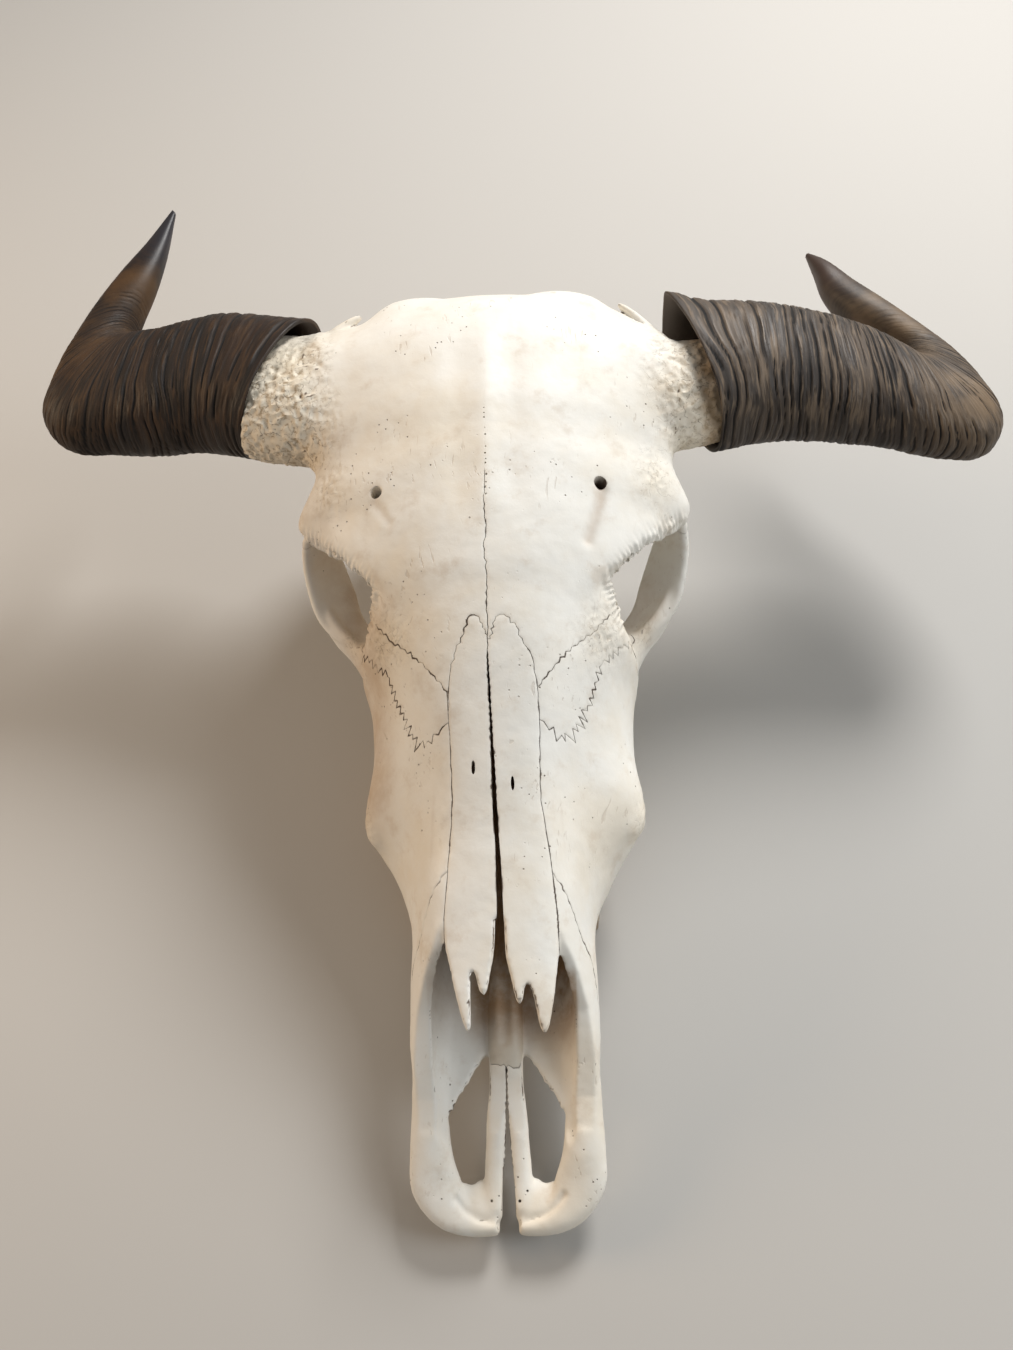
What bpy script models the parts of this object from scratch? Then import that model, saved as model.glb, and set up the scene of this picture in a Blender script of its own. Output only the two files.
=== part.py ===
"""Skull of an adult water buffalo with both horns, at life size, lying on its cheek teeth.

Lengths are metres. While the skull is built, x runs to its left, y from the tip of the muzzle back to
the poll and z up from the floor. At the end it is moved so that the middle of its outer box is at x = y = 0.
"""
import math
from collections import namedtuple

import bmesh
import bpy
import numpy as np
from mathutils import Euler, Matrix, Vector

# Gaps at the sutures, and how finely the forms are run together
MIDLINE_GAP = 0.0003
SUTURE_GAP = 0.0003
BLEND_VOXEL = 0.0026
BLEND_ROUNDS = 12
FINE_VOXEL = 0.0019
FINE_ROUNDS = 4
BONE_TRIANGLES = 7050

# Face from the muzzle to the orbits: one section every few centimetres, half widths from the midline
FaceSection = namedtuple(
    "FaceSection",
    "y roof nasal_half nasal_z flank_half flank_z cheek_half cheek_z gum_half gum_z gum_inner palate_half palate_z")
FACE_SECTIONS = [
    FaceSection(0.060, 0.078, 0.027, 0.075, 0.040, 0.055, 0.0480, 0.034, 0.044, 0.024, 0.040, 0.031, 0.029),
    FaceSection(0.078, 0.084, 0.027, 0.081, 0.043, 0.061, 0.0500, 0.040, 0.047, 0.026, 0.040, 0.030, 0.030),
    FaceSection(0.095, 0.090, 0.028, 0.086, 0.043, 0.066, 0.0515, 0.044, 0.048, 0.026, 0.039, 0.029, 0.031),
    FaceSection(0.125, 0.099, 0.030, 0.093, 0.043, 0.075, 0.0515, 0.050, 0.046, 0.027, 0.038, 0.028, 0.033),
    FaceSection(0.160, 0.109, 0.030, 0.103, 0.043, 0.085, 0.0520, 0.053, 0.047, 0.028, 0.037, 0.028, 0.036),
    FaceSection(0.185, 0.117, 0.027, 0.111, 0.045, 0.092, 0.0620, 0.054, 0.056, 0.029, 0.036, 0.030, 0.038),
    FaceSection(0.215, 0.130, 0.025, 0.124, 0.047, 0.103, 0.0810, 0.066, 0.064, 0.030, 0.037, 0.031, 0.040),
    FaceSection(0.250, 0.146, 0.027, 0.141, 0.050, 0.120, 0.0775, 0.074, 0.066, 0.030, 0.037, 0.031, 0.042),
    FaceSection(0.281, 0.161, 0.031, 0.155, 0.061, 0.130, 0.0790, 0.078, 0.065, 0.030, 0.037, 0.031, 0.043),
    FaceSection(0.302, 0.170, 0.036, 0.162, 0.070, 0.134, 0.0815, 0.088, 0.060, 0.031, 0.036, 0.030, 0.044),
    FaceSection(0.318, 0.176, 0.040, 0.167, 0.063, 0.147, 0.0640, 0.098, 0.048, 0.048, 0.036, 0.026, 0.054),
    FaceSection(0.334, 0.178, 0.036, 0.166, 0.050, 0.146, 0.0500, 0.100, 0.036, 0.064, 0.030, 0.022, 0.064),
]

# Nasal cavity, open in front between the premaxillae and behind over the end of the hard palate
CavitySection = namedtuple("CavitySection", "y top top_half middle_half middle_z floor_half floor_z")
CAVITY_SECTIONS = [
    CavitySection(0.034, 0.100, 0.024, 0.0340, 0.052, 0.0280, 0.037),
    CavitySection(0.048, 0.100, 0.024, 0.0365, 0.045, 0.0300, 0.030),
    CavitySection(0.064, 0.086, 0.024, 0.0370, 0.048, 0.0300, 0.0325),
    CavitySection(0.082, 0.079, 0.023, 0.0375, 0.052, 0.0300, 0.0365),
    CavitySection(0.110, 0.088, 0.025, 0.0385, 0.060, 0.0290, 0.039),
    CavitySection(0.160, 0.102, 0.025, 0.0360, 0.068, 0.0280, 0.042),
    CavitySection(0.200, 0.117, 0.020, 0.0340, 0.074, 0.0260, 0.045),
    CavitySection(0.250, 0.126, 0.016, 0.0280, 0.080, 0.0220, 0.048),
    CavitySection(0.300, 0.092, 0.012, 0.0200, 0.072, 0.0180, 0.049),
    CavitySection(0.350, 0.074, 0.010, 0.0160, 0.058, 0.0150, 0.020),
]

# Forehead, braincase and nape: the brow is the outer edge of the forehead, the eave its thickness there
CraniumSection = namedtuple("CraniumSection", "y roof brow_half brow_z eave wall_half wall_z base_half base_z")
CRANIUM_SECTIONS = [
    CraniumSection(0.285, 0.161, 0.030, 0.150, 0.010, 0.034, 0.120, 0.022, 0.072),
    CraniumSection(0.305, 0.171, 0.048, 0.156, 0.012, 0.036, 0.115, 0.022, 0.066),
    CraniumSection(0.320, 0.178, 0.064, 0.156, 0.012, 0.038, 0.115, 0.021, 0.061),
    CraniumSection(0.335, 0.183, 0.0775, 0.156, 0.012, 0.038, 0.115, 0.020, 0.058),
    CraniumSection(0.350, 0.188, 0.0930, 0.152, 0.012, 0.040, 0.115, 0.020, 0.057),
    CraniumSection(0.362, 0.191, 0.1050, 0.148, 0.013, 0.043, 0.115, 0.020, 0.056),
    CraniumSection(0.371, 0.193, 0.1135, 0.149, 0.013, 0.047, 0.114, 0.020, 0.0555),
    CraniumSection(0.381, 0.196, 0.1105, 0.155, 0.014, 0.051, 0.112, 0.020, 0.055),
    CraniumSection(0.395, 0.199, 0.1045, 0.161, 0.016, 0.056, 0.110, 0.021, 0.054),
    CraniumSection(0.416, 0.204, 0.108, 0.170, 0.028, 0.060, 0.108, 0.024, 0.053),
    CraniumSection(0.436, 0.206, 0.109, 0.179, 0.040, 0.061, 0.107, 0.026, 0.052),
    CraniumSection(0.455, 0.208, 0.110, 0.184, 0.048, 0.062, 0.105, 0.028, 0.052),
    CraniumSection(0.475, 0.207, 0.110, 0.184, 0.048, 0.066, 0.100, 0.032, 0.052),
    CraniumSection(0.490, 0.203, 0.107, 0.180, 0.042, 0.076, 0.100, 0.036, 0.052),
    CraniumSection(0.503, 0.195, 0.101, 0.172, 0.034, 0.088, 0.100, 0.040, 0.052),
    CraniumSection(0.512, 0.178, 0.086, 0.160, 0.026, 0.082, 0.102, 0.036, 0.056),
    CraniumSection(0.518, 0.156, 0.058, 0.144, 0.014, 0.056, 0.112, 0.028, 0.074),
]

# Left orbit: round its rim, each point with the inner edge of the wall behind it
ORBIT_WALL = [
    ((0.067, 0.322, 0.150), (0.058, 0.334, 0.146)), ((0.081, 0.339, 0.151), (0.070, 0.351, 0.147)),
    ((0.096, 0.3545, 0.147), (0.084, 0.366, 0.142)), ((0.110, 0.368, 0.141), (0.1005, 0.384, 0.127)),
    ((0.1135, 0.358, 0.122), (0.096, 0.380, 0.104)), ((0.109, 0.338, 0.104), (0.088, 0.362, 0.094)),
    ((0.099, 0.326, 0.096), (0.081, 0.342, 0.089)), ((0.085, 0.316, 0.096), (0.070, 0.327, 0.088)),
    ((0.075, 0.308, 0.108), (0.062, 0.318, 0.100)), ((0.072, 0.307, 0.125), (0.060, 0.317, 0.120)),
    ((0.069, 0.313, 0.141), (0.058, 0.324, 0.137)),
]
ORBIT_WALL_THICKNESS = 0.0070
ORBIT_HOLLOW_CENTRE = (0.081, 0.343, 0.123)
ORBIT_HOLLOW_RADII = (0.027, 0.030, 0.025)
ORBIT_CORNER_CENTRE = (0.097, 0.3545, 0.128)
ORBIT_CORNER_RADII = (0.0120, 0.0150, 0.0125)

# Bars and plates, each a run of (centre, width, height)
ZYGOMATIC_ARCH = [
    ((0.070, 0.284, 0.083), 0.014, 0.030), ((0.0765, 0.304, 0.084), 0.012, 0.028),
    ((0.0845, 0.319, 0.086), 0.011, 0.026), ((0.0955, 0.331, 0.090), 0.010, 0.023),
    ((0.1035, 0.345, 0.095), 0.010, 0.021), ((0.107, 0.364, 0.098), 0.009, 0.020),
    ((0.102, 0.392, 0.097), 0.009, 0.017), ((0.091, 0.420, 0.095), 0.011, 0.016),
    ((0.076, 0.438, 0.092), 0.018, 0.018), ((0.054, 0.450, 0.090), 0.024, 0.026),
]
PREMAXILLA_BAR = [
    ((0.0435, 0.100, 0.040), 0.014, 0.030), ((0.0430, 0.082, 0.036), 0.015, 0.026),
    ((0.0412, 0.060, 0.030), 0.020, 0.020), ((0.0405, 0.042, 0.026), 0.023, 0.017),
    ((0.0380, 0.027, 0.021), 0.027, 0.014), ((0.0285, 0.0135, 0.0168), 0.021, 0.012),
    ((0.0170, 0.0080, 0.0145), 0.013, 0.011), ((0.0050, 0.0074, 0.0140), 0.010, 0.010),
]
PALATINE_BAR = [
    ((0.0080, 0.014, 0.0155), 0.0110, 0.009), ((0.0075, 0.026, 0.0180), 0.0110, 0.009),
    ((0.0064, 0.047, 0.0235), 0.0105, 0.010), ((0.0057, 0.062, 0.0282), 0.0105, 0.011),
    ((0.0055, 0.075, 0.0315), 0.0105, 0.012), ((0.0050, 0.084, 0.0325), 0.0105, 0.010),
]
PTERYGOID_PLATE = [
    ((0.024, 0.296, 0.046), 0.008, 0.026), ((0.023, 0.325, 0.046), 0.005, 0.034),
    ((0.020, 0.350, 0.048), 0.005, 0.034), ((0.017, 0.378, 0.056), 0.006, 0.020),
]
PARACONDYLAR_PROCESS = [
    ((0.066, 0.498, 0.100), 0.034, 0.024), ((0.061, 0.497, 0.068), 0.030, 0.020),
    ((0.055, 0.493, 0.034), 0.024, 0.016), ((0.049, 0.488, -0.006), 0.018, 0.013),
]
HORN_CORE = [
    ((0.056, 0.453, 0.170), 0.064, 0.030), ((0.084, 0.4520, 0.164), 0.082, 0.050),
    ((0.104, 0.4535, 0.160), 0.085, 0.060), ((0.122, 0.4570, 0.158), 0.082, 0.061),
    ((0.137, 0.462, 0.157), 0.079, 0.060), ((0.148, 0.467, 0.156), 0.064, 0.053),
    ((0.159, 0.472, 0.155), 0.046, 0.042), ((0.169, 0.475, 0.154), 0.030, 0.029),
]

# Swellings, each a centre and three radii
Swelling = namedtuple("Swelling", "centre radii")
PREMAXILLA_PLATE = Swelling((0.0160, 0.018, 0.0150), (0.0150, 0.0130, 0.0050))
FACIAL_TUBER = Swelling((0.071, 0.218, 0.065), (0.012, 0.018, 0.011))
TEMPLE_BASE = Swelling((0.046, 0.452, 0.080), (0.026, 0.040, 0.022))
JAW_SOCKET = Swelling((0.066, 0.432, 0.085), (0.026, 0.020, 0.013))
EAR_CAPSULE = Swelling((0.038, 0.458, 0.060), (0.014, 0.022, 0.015))
EAR_OPENING = Swelling((0.066, 0.468, 0.083), (0.020, 0.013, 0.014))
CONDYLE = Swelling((0.023, 0.512, 0.060), (0.017, 0.015, 0.019))
CONDYLE_NECK = Swelling((0.018, 0.497, 0.066), (0.032, 0.020, 0.022))
NAPE_KNOB = Swelling((0.0, 0.513, 0.136), (0.016, 0.010, 0.020))
POLL_HUMP = Swelling((0.040, 0.485, 0.181), (0.040, 0.028, 0.018))
SPINAL_OPENING = Swelling((0.0, 0.522, 0.073), (0.0160, 0.034, 0.0145))

# Nasal bones seen from above: the outer edge, then the two prongs of the forked tip
NASAL_OUTLINE = [
    (0.0000, 0.2800), (0.0037, 0.2875), (0.0068, 0.2908), (0.0100, 0.2902), (0.0140, 0.2832),
    (0.0190, 0.2745), (0.0225, 0.2670), (0.0240, 0.2560), (0.0245, 0.2420), (0.0238, 0.2150),
    (0.0262, 0.1820), (0.0285, 0.1600), (0.0296, 0.1290), (0.0265, 0.1100), (0.0235, 0.0950),
    (0.0205, 0.0880), (0.0180, 0.0915), (0.0155, 0.1100), (0.0139, 0.1145), (0.0122, 0.1100),
    (0.0102, 0.1020), (0.0082, 0.1020), (0.0057, 0.1143), (0.0030, 0.1240), (0.0017, 0.1510),
    (0.0012, 0.1760), (0.0006, 0.2300), (0.0000, 0.2550),
]
NASAL_FLOOR_START = (0.085, 0.070)
NASAL_FLOOR_SLOPE = 0.385

# Hole between the premaxilla's outer bar and the palate, and the slot on the midline, seen from above
PALATINE_HOLE = [
    (0.0090, 0.0950), (0.0180, 0.0810), (0.0265, 0.0690), (0.0290, 0.0590), (0.0295, 0.0480),
    (0.0250, 0.0340), (0.0190, 0.0270), (0.0135, 0.0320), (0.0110, 0.0470), (0.0090, 0.0750),
]
MIDLINE_SLOT = [(0.0000, 0.0800), (0.0007, 0.0600), (0.0011, 0.0480), (0.0024, 0.0330), (0.0036, 0.0220),
                (0.0036, -0.0100), (0.0000, -0.0100)]

# Side view of what is cut away round the nasal bones: the open muzzle
OPEN_MUZZLE = [
    (0.143, 0.0990), (0.131, 0.0900), (0.120, 0.0770), (0.105, 0.0630), (0.080, 0.0485),
    (0.066, 0.0405), (0.050, 0.0360), (0.050, 0.1600), (0.143, 0.1600),
]

# Sutures: side views (y, z) or plans (x, y) of the bones that they bound
OCCIPITAL_SIDE = [(0.507, 0.186), (0.484, 0.090), (0.476, -0.020), (0.560, -0.020), (0.560, 0.186)]
SPHENOID_PLAN = [
    (-0.066, 0.313), (0.066, 0.313), (0.066, 0.384), (0.027, 0.396), (0.027, 0.520),
    (-0.027, 0.520), (-0.027, 0.396), (-0.066, 0.384),
]
FRONTAL_FLOOR = 0.132
LACRIMAL_PLAN = [
    (0.0243, 0.2556), (0.0240, 0.2410), (0.0300, 0.2370), (0.0385, 0.2345), (0.0455, 0.2420), (0.0510, 0.2540),
    (0.0600, 0.2790), (0.0720, 0.2930), (0.0830, 0.3080), (0.0760, 0.3220), (0.0690, 0.3080), (0.0560, 0.2910),
    (0.0480, 0.2838), (0.0345, 0.2690),
]
LACRIMAL_FLOOR = 0.100
FRONTAL_PLAN = [
    (-0.010, 0.2480), (0.0240, 0.2480), (0.0345, 0.2660), (0.0480, 0.2810), (0.0560, 0.2885), (0.0700, 0.3060),
    (0.0760, 0.3220), (0.1200, 0.3300), (0.1200, 0.3995), (0.1130, 0.3995), (0.1130, 0.5400), (-0.010, 0.5400),
]
ZYGOMATIC_PLAN = [(0.0830, 0.2930), (0.0690, 0.3130), (0.0760, 0.3600), (0.0830, 0.4020), (0.1300, 0.3900),
                  (0.1300, 0.2930)]
PREMAXILLA_SIDE = [(0.168, 0.1065), (0.154, 0.0945), (0.1425, 0.0815), (0.132, 0.0640), (0.110, 0.0480),
                   (0.088, 0.0340), (0.079, 0.0000), (-0.020, 0.0000), (-0.020, 0.1200), (0.168, 0.1200)]
MAXILLA_REAR = 0.3127
HORN_CORE_ROOT = 0.1133
HORN_CORE_FRONT = 0.4
HORN_CORE_FLOOR = 0.1
ZYGOMATIC_FLOOR = 0.05

# Cheek teeth of one side, from the front: length along the row and width across it
CheekTooth = namedtuple("CheekTooth", "length width")
CHEEK_TEETH = [
    CheekTooth(0.0150, 0.0140), CheekTooth(0.0175, 0.0175), CheekTooth(0.0180, 0.0190),
    CheekTooth(0.0235, 0.0215), CheekTooth(0.0270, 0.0230), CheekTooth(0.0285, 0.0215),
]
TOOTH_ROW_START = 0.1720
TOOTH_ROW_BEND = (0.0460, 0.0530, 0.0500)
TOOTH_ROOT_TOP = 0.040
TOOTH_SIDES = 14

# Horn sheaths: front or outer edge, rear or inner edge, height of the middle line and thickness
HornStation = namedtuple("HornStation", "outer inner z height")
RIGHT_HORN = [
    HornStation((-0.1480, 0.4270), (-0.1060, 0.5110), 0.158, 0.074),
    HornStation((-0.1780, 0.4360), (-0.1660, 0.5260), 0.154, 0.070),
    HornStation((-0.2100, 0.4375), (-0.2010, 0.5225), 0.151, 0.064),
    HornStation((-0.2410, 0.4385), (-0.2210, 0.5225), 0.150, 0.058),
    HornStation((-0.2635, 0.4415), (-0.2265, 0.5235), 0.149, 0.053),
    HornStation((-0.2775, 0.4570), (-0.2285, 0.5245), 0.149, 0.048),
    HornStation((-0.2770, 0.4790), (-0.2300, 0.5260), 0.150, 0.042),
    HornStation((-0.2735, 0.4970), (-0.2300, 0.5285), 0.152, 0.037),
    HornStation((-0.2665, 0.5180), (-0.2280, 0.5340), 0.155, 0.033),
    HornStation((-0.2560, 0.5420), (-0.2240, 0.5430), 0.159, 0.029),
    HornStation((-0.2425, 0.5665), (-0.2175, 0.5590), 0.164, 0.023),
    HornStation((-0.2260, 0.5930), (-0.2120, 0.5850), 0.169, 0.014),
    HornStation((-0.2110, 0.6200), (-0.2085, 0.6170), 0.175, 0.003),
]
LEFT_HORN = [
    HornStation((0.1360, 0.4140), (0.1070, 0.5080), 0.161, 0.078),
    HornStation((0.1660, 0.4250), (0.1630, 0.5130), 0.154, 0.070),
    HornStation((0.2050, 0.4270), (0.2030, 0.5110), 0.147, 0.063),
    HornStation((0.2430, 0.4230), (0.2330, 0.5040), 0.141, 0.057),
    HornStation((0.2720, 0.4170), (0.2510, 0.4950), 0.136, 0.052),
    HornStation((0.2970, 0.4200), (0.2570, 0.4920), 0.132, 0.048),
    HornStation((0.3085, 0.4370), (0.2590, 0.4930), 0.130, 0.044),
    HornStation((0.3040, 0.4620), (0.2585, 0.4970), 0.129, 0.040),
    HornStation((0.2935, 0.4890), (0.2555, 0.5050), 0.128, 0.036),
    HornStation((0.2780, 0.5130), (0.2450, 0.5180), 0.128, 0.033),
    HornStation((0.2580, 0.5400), (0.2270, 0.5390), 0.128, 0.030),
    HornStation((0.2390, 0.5640), (0.2165, 0.5580), 0.129, 0.022),
    HornStation((0.2200, 0.5890), (0.2125, 0.5800), 0.130, 0.012),
    HornStation((0.2115, 0.5975), (0.2095, 0.5960), 0.130, 0.003),
]
HORN_SIDES = 14
HORN_SECTION_FULLNESS = 0.85
HORN_RIDGE_SPACING = 0.0110
HORN_RIDGE_HEIGHT = 0.0011
HORN_RIDGED_LENGTH = 0.205
SOCKET_DEPTH = 0.062
SOCKET_WALL = 0.0045
SOCKET_SHARES = (0.60, 0.85, 1.0, 1.0)
SOCKET_GAP = 0.0005
COLLAR = 0.012
COLLAR_LENGTH = 0.090

# Groove of the vomer on the floor of the nasal cavity, and the bone that carries it
VOMER_RUN = [
    ((0.0, 0.086, 0.0385), 0.0180, 0.0130), ((0.0, 0.110, 0.0405), 0.0180, 0.0130),
    ((0.0, 0.160, 0.0435), 0.0140, 0.0150), ((0.0, 0.290, 0.0500), 0.0090, 0.0200),
]
VOMER_PLAN = [(-0.0095, 0.0845), (0.0095, 0.0845), (0.0095, 0.2850), (-0.0095, 0.2850)]
VOMER_FLOOR_START = (0.085, 0.0370)
VOMER_FLOOR_SLOPE = 0.060
VOMER_HIGH = 0.066

BONE_COLOUR = (0.78, 0.71, 0.60, 1.0)
BONE_ROUGHNESS = 0.6
HORN_COLOUR = (0.045, 0.036, 0.030, 1.0)
HORN_ROUGHNESS = 0.5
CREASE_ANGLE = math.radians(50)

# Steps and reaches that the construction uses
SECTION_SPACING = 0.006
FACE_SPAN_STEPS = 5
CRANIUM_SPAN_STEPS = 4
NASAL_CLEARANCE = 0.0006
CONDYLE_TURN = (0.3, 0.0, 0.25)
LIP_FULLNESS = 0.6
FAR = 0.7
ROOF = 0.3


def clear_scene():
    for thing in list(bpy.data.objects):
        bpy.data.objects.remove(thing, do_unlink=True)


def new_object(name, mesh):
    thing = bpy.data.objects.new(name, mesh)
    bpy.context.scene.collection.objects.link(thing)
    return thing


def remove_object(thing):
    mesh = thing.data
    bpy.data.objects.remove(thing, do_unlink=True)
    bpy.data.meshes.remove(mesh)


def mesh_object(name, vertices, faces):
    mesh = bpy.data.meshes.new(name)
    mesh.from_pydata([tuple(v) for v in vertices], [], faces)
    box = bmesh.new()
    box.from_mesh(mesh)
    bmesh.ops.recalc_face_normals(box, faces=box.faces)
    bmesh.ops.triangulate(box, faces=[face for face in box.faces if len(face.verts) > 4])
    box.to_mesh(mesh)
    box.free()
    return new_object(name, mesh)


def smooth_values(places, values, wanted):
    """Read a smooth curve through the values at other places, without overshoot at its ends."""
    places = np.asarray(places, float)
    values = np.asarray(values, float)
    slopes = np.gradient(values, places, axis=0)
    spans = np.clip(np.searchsorted(places, wanted, side="right") - 1, 0, len(places) - 2)
    lengths = places[spans + 1] - places[spans]
    t = ((wanted - places[spans]) / lengths)[:, None]
    before, after = values[spans], values[spans + 1]
    leave, arrive = slopes[spans] * lengths[:, None], slopes[spans + 1] * lengths[:, None]
    return ((2 * t**3 - 3 * t**2 + 1) * before + (t**3 - 2 * t**2 + t) * leave
            + (3 * t**2 - 2 * t**3) * after + (t**3 - t**2) * arrive)


def closed_curve(points, per_span):
    """A smooth closed curve through the points."""
    points = np.asarray(points, float)
    curve = []
    for i in range(len(points)):
        before, start, end, after = (points[(i + k - 1) % len(points)] for k in range(4))
        for step in range(per_span):
            t = step / per_span
            curve.append(0.5 * (2 * start + (end - before) * t + (2 * before - 5 * start + 4 * end - after) * t**2
                                + (3 * start - before - 3 * end + after) * t**3))
    return np.array(curve)


def loft(name, rings, closed=False):
    """A closed solid through rings that have the same number of points."""
    sides = len(rings[0])
    vertices = [tuple(point) for ring in rings for point in ring]
    faces = []
    last = len(rings) if closed else len(rings) - 1
    for r in range(last):
        start, end = r * sides, ((r + 1) % len(rings)) * sides
        for s in range(sides):
            n = (s + 1) % sides
            faces.append((start + s, start + n, end + n, end + s))
    if not closed:
        faces.append(tuple(range(sides)))
        faces.append(tuple(range(len(vertices) - sides, len(vertices))))
    return mesh_object(name, vertices, faces)


def mirrored_ring(y, half):
    """A closed ring in the plane at y from the points of its left half, top to bottom."""
    right = [(-x, z) for x, z in reversed(half) if x > 1e-6]
    return [(x, y, z) for x, z in list(half) + right]


def face_half(s):
    return [(0.0, s.roof), (s.nasal_half, s.nasal_z), (s.flank_half, s.flank_z), (s.cheek_half, s.cheek_z),
            (s.gum_half, s.gum_z), (s.gum_inner, s.gum_z), (s.palate_half, s.palate_z), (0.0, s.palate_z)]


def cavity_half(s):
    return [(0.0, s.top), (s.top_half, s.top - 0.003), (s.middle_half, s.middle_z), (s.floor_half, s.floor_z),
            (0.0, s.floor_z)]


def cranium_half(s):
    fall = s.roof - s.brow_z
    shares = (0.0, 0.25, 0.5, 0.75, 1.0)
    top = [(s.brow_half * share, s.roof - fall * share**2) for share in shares]
    under = s.brow_z - s.eave
    inner = min(s.wall_half + 0.006, s.brow_half - 0.002)
    return top + [(s.brow_half - 0.004, under), (inner, under - 0.003), (s.wall_half, s.wall_z),
                  (0.5 * (s.wall_half + s.base_half), 0.5 * (s.wall_z + s.base_z)), (s.base_half, s.base_z + 0.008),
                  (0.0, s.base_z)]


def section_loft(name, sections, half_of, per_span):
    """A solid through sections that are read at an even spacing along the skull."""
    places = [s.y for s in sections]
    wanted = np.linspace(places[0], places[-1], int((places[-1] - places[0]) / SECTION_SPACING) + 2)
    kind = type(sections[0])
    rings = []
    for row in smooth_values(places, sections, wanted):
        section = kind(*row)
        rings.append(closed_curve(mirrored_ring(section.y, half_of(section)), per_span))
    return loft(name, rings)


def sweep(name, stations, up=(0.0, 0.0, 1.0), spacing=0.004, sides=20):
    """A bar of oval section along stations of (centre, width, height), height lying towards up."""
    rows = [tuple(centre) + (width, height) for centre, width, height in stations]
    legs = [math.dist(a[:3], b[:3]) for a, b in zip(rows, rows[1:])]
    places = np.concatenate([[0.0], np.cumsum(legs)])
    rows = smooth_values(places, rows, np.linspace(0.0, places[-1], int(places[-1] / spacing) + 2))
    centres = rows[:, :3]
    rings = []
    for centre, run, size in zip(centres, np.gradient(centres, axis=0), rows[:, 3:]):
        along = Vector(run).normalized()
        side = along.cross(Vector(up)).normalized()
        high = side.cross(along).normalized()
        ring = []
        for k in range(sides):
            angle = 2 * math.pi * k / sides
            ring.append(Vector(centre) + side * (0.5 * size[0] * math.cos(angle))
                        + high * (0.5 * size[1] * math.sin(angle)))
        rings.append(ring)
    return loft(name, rings)


def swelling(name, size, turn=(0.0, 0.0, 0.0)):
    mesh = bpy.data.meshes.new(name)
    ball = bmesh.new()
    bmesh.ops.create_icosphere(ball, subdivisions=4, radius=1.0)
    stretch = Matrix.Diagonal((*size.radii, 1.0))
    place = Matrix.Translation(size.centre) @ Euler(turn).to_matrix().to_4x4() @ stretch
    bmesh.ops.transform(ball, matrix=place, verts=ball.verts)
    ball.to_mesh(mesh)
    ball.free()
    return new_object(name, mesh)


def grown_outline(outline, amount):
    """The outline with each side moved outwards by the amount."""
    points = [Vector(p) for p in outline]
    area = sum(a.x * b.y - b.x * a.y for a, b in zip(points, points[1:] + points[:1]))
    outward = 1.0 if area > 0 else -1.0
    grown = []
    for i, point in enumerate(points):
        before = (point - points[i - 1]).normalized()
        after = (points[(i + 1) % len(points)] - point).normalized()
        out_before = Vector((before.y, -before.x)) * outward
        out_after = Vector((after.y, -after.x)) * outward
        bisector = out_before + out_after
        grown.append(point + bisector * (amount * 2.0 / max(bisector.length_squared, 0.8)))
    return grown


def prism(name, outline, axis, low, high, grow=0.0, rise=0.0):
    """An outline drawn square to an axis and stretched along it; its low end may rise with y."""
    outline = grown_outline(outline, grow) if grow else [Vector(p) for p in outline]
    places = {"x": lambda p, d: (d, p.x, p.y), "z": lambda p, d: (p.x, p.y, d)}
    bottom = [places[axis](p, low - grow + rise * p.y) for p in outline]
    top = [places[axis](p, high + grow) for p in outline]
    return loft(name, [bottom, top])


def mirror_mesh(thing):
    """A copy of an object on the other side of the midline."""
    mesh = thing.data.copy()
    mesh.transform(Matrix.Scale(-1.0, 4, (1.0, 0.0, 0.0)))
    mesh.flip_normals()
    return new_object(thing.name, mesh)


def use_modifier(thing, modifier):
    """Keep the object's mesh as the modifier leaves it."""
    view = bpy.context.evaluated_depsgraph_get()
    view.update()
    mesh = bpy.data.meshes.new_from_object(thing.evaluated_get(view))
    old = thing.data
    thing.modifiers.remove(modifier)
    thing.data = mesh
    bpy.data.meshes.remove(old)


def cut(thing, cutter, operation="DIFFERENCE", solver="EXACT"):
    modifier = thing.modifiers.new("cut", "BOOLEAN")
    modifier.operation = operation
    modifier.solver = solver
    modifier.object = cutter
    use_modifier(thing, modifier)


def copy_object(thing, name):
    return new_object(name, thing.data.copy())


def largest_shell(thing):
    """Drop every loose piece but the one with the most volume."""
    solid = bmesh.new()
    solid.from_mesh(thing.data)
    bmesh.ops.triangulate(solid, faces=solid.faces)
    unseen = set(solid.verts)
    shells = []
    while unseen:
        shell = set()
        front = [unseen.pop()]
        while front:
            vertex = front.pop()
            shell.add(vertex)
            for edge in vertex.link_edges:
                other = edge.other_vert(vertex)
                if other in unseen:
                    unseen.discard(other)
                    front.append(other)
        shells.append(shell)

    def volume(shell):
        faces = {face for vertex in shell for face in vertex.link_faces}
        return abs(sum(f.verts[0].co.dot(f.verts[1].co.cross(f.verts[2].co)) for f in faces)) / 6.0

    keep = max(shells, key=volume)
    bmesh.ops.delete(solid, geom=[v for v in solid.verts if v not in keep], context="VERTS")
    solid.to_mesh(thing.data)
    solid.free()


def fuse(name, things):
    """One object that holds the meshes of several."""
    joined = bmesh.new()
    for thing in things:
        joined.from_mesh(thing.data)
    mesh = bpy.data.meshes.new(name)
    joined.to_mesh(mesh)
    joined.free()
    for thing in things:
        remove_object(thing)
    return new_object(name, mesh)


def remesh(thing, voxel):
    modifier = thing.modifiers.new("skin", "REMESH")
    modifier.mode = "VOXEL"
    modifier.voxel_size = voxel
    use_modifier(thing, modifier)


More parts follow.
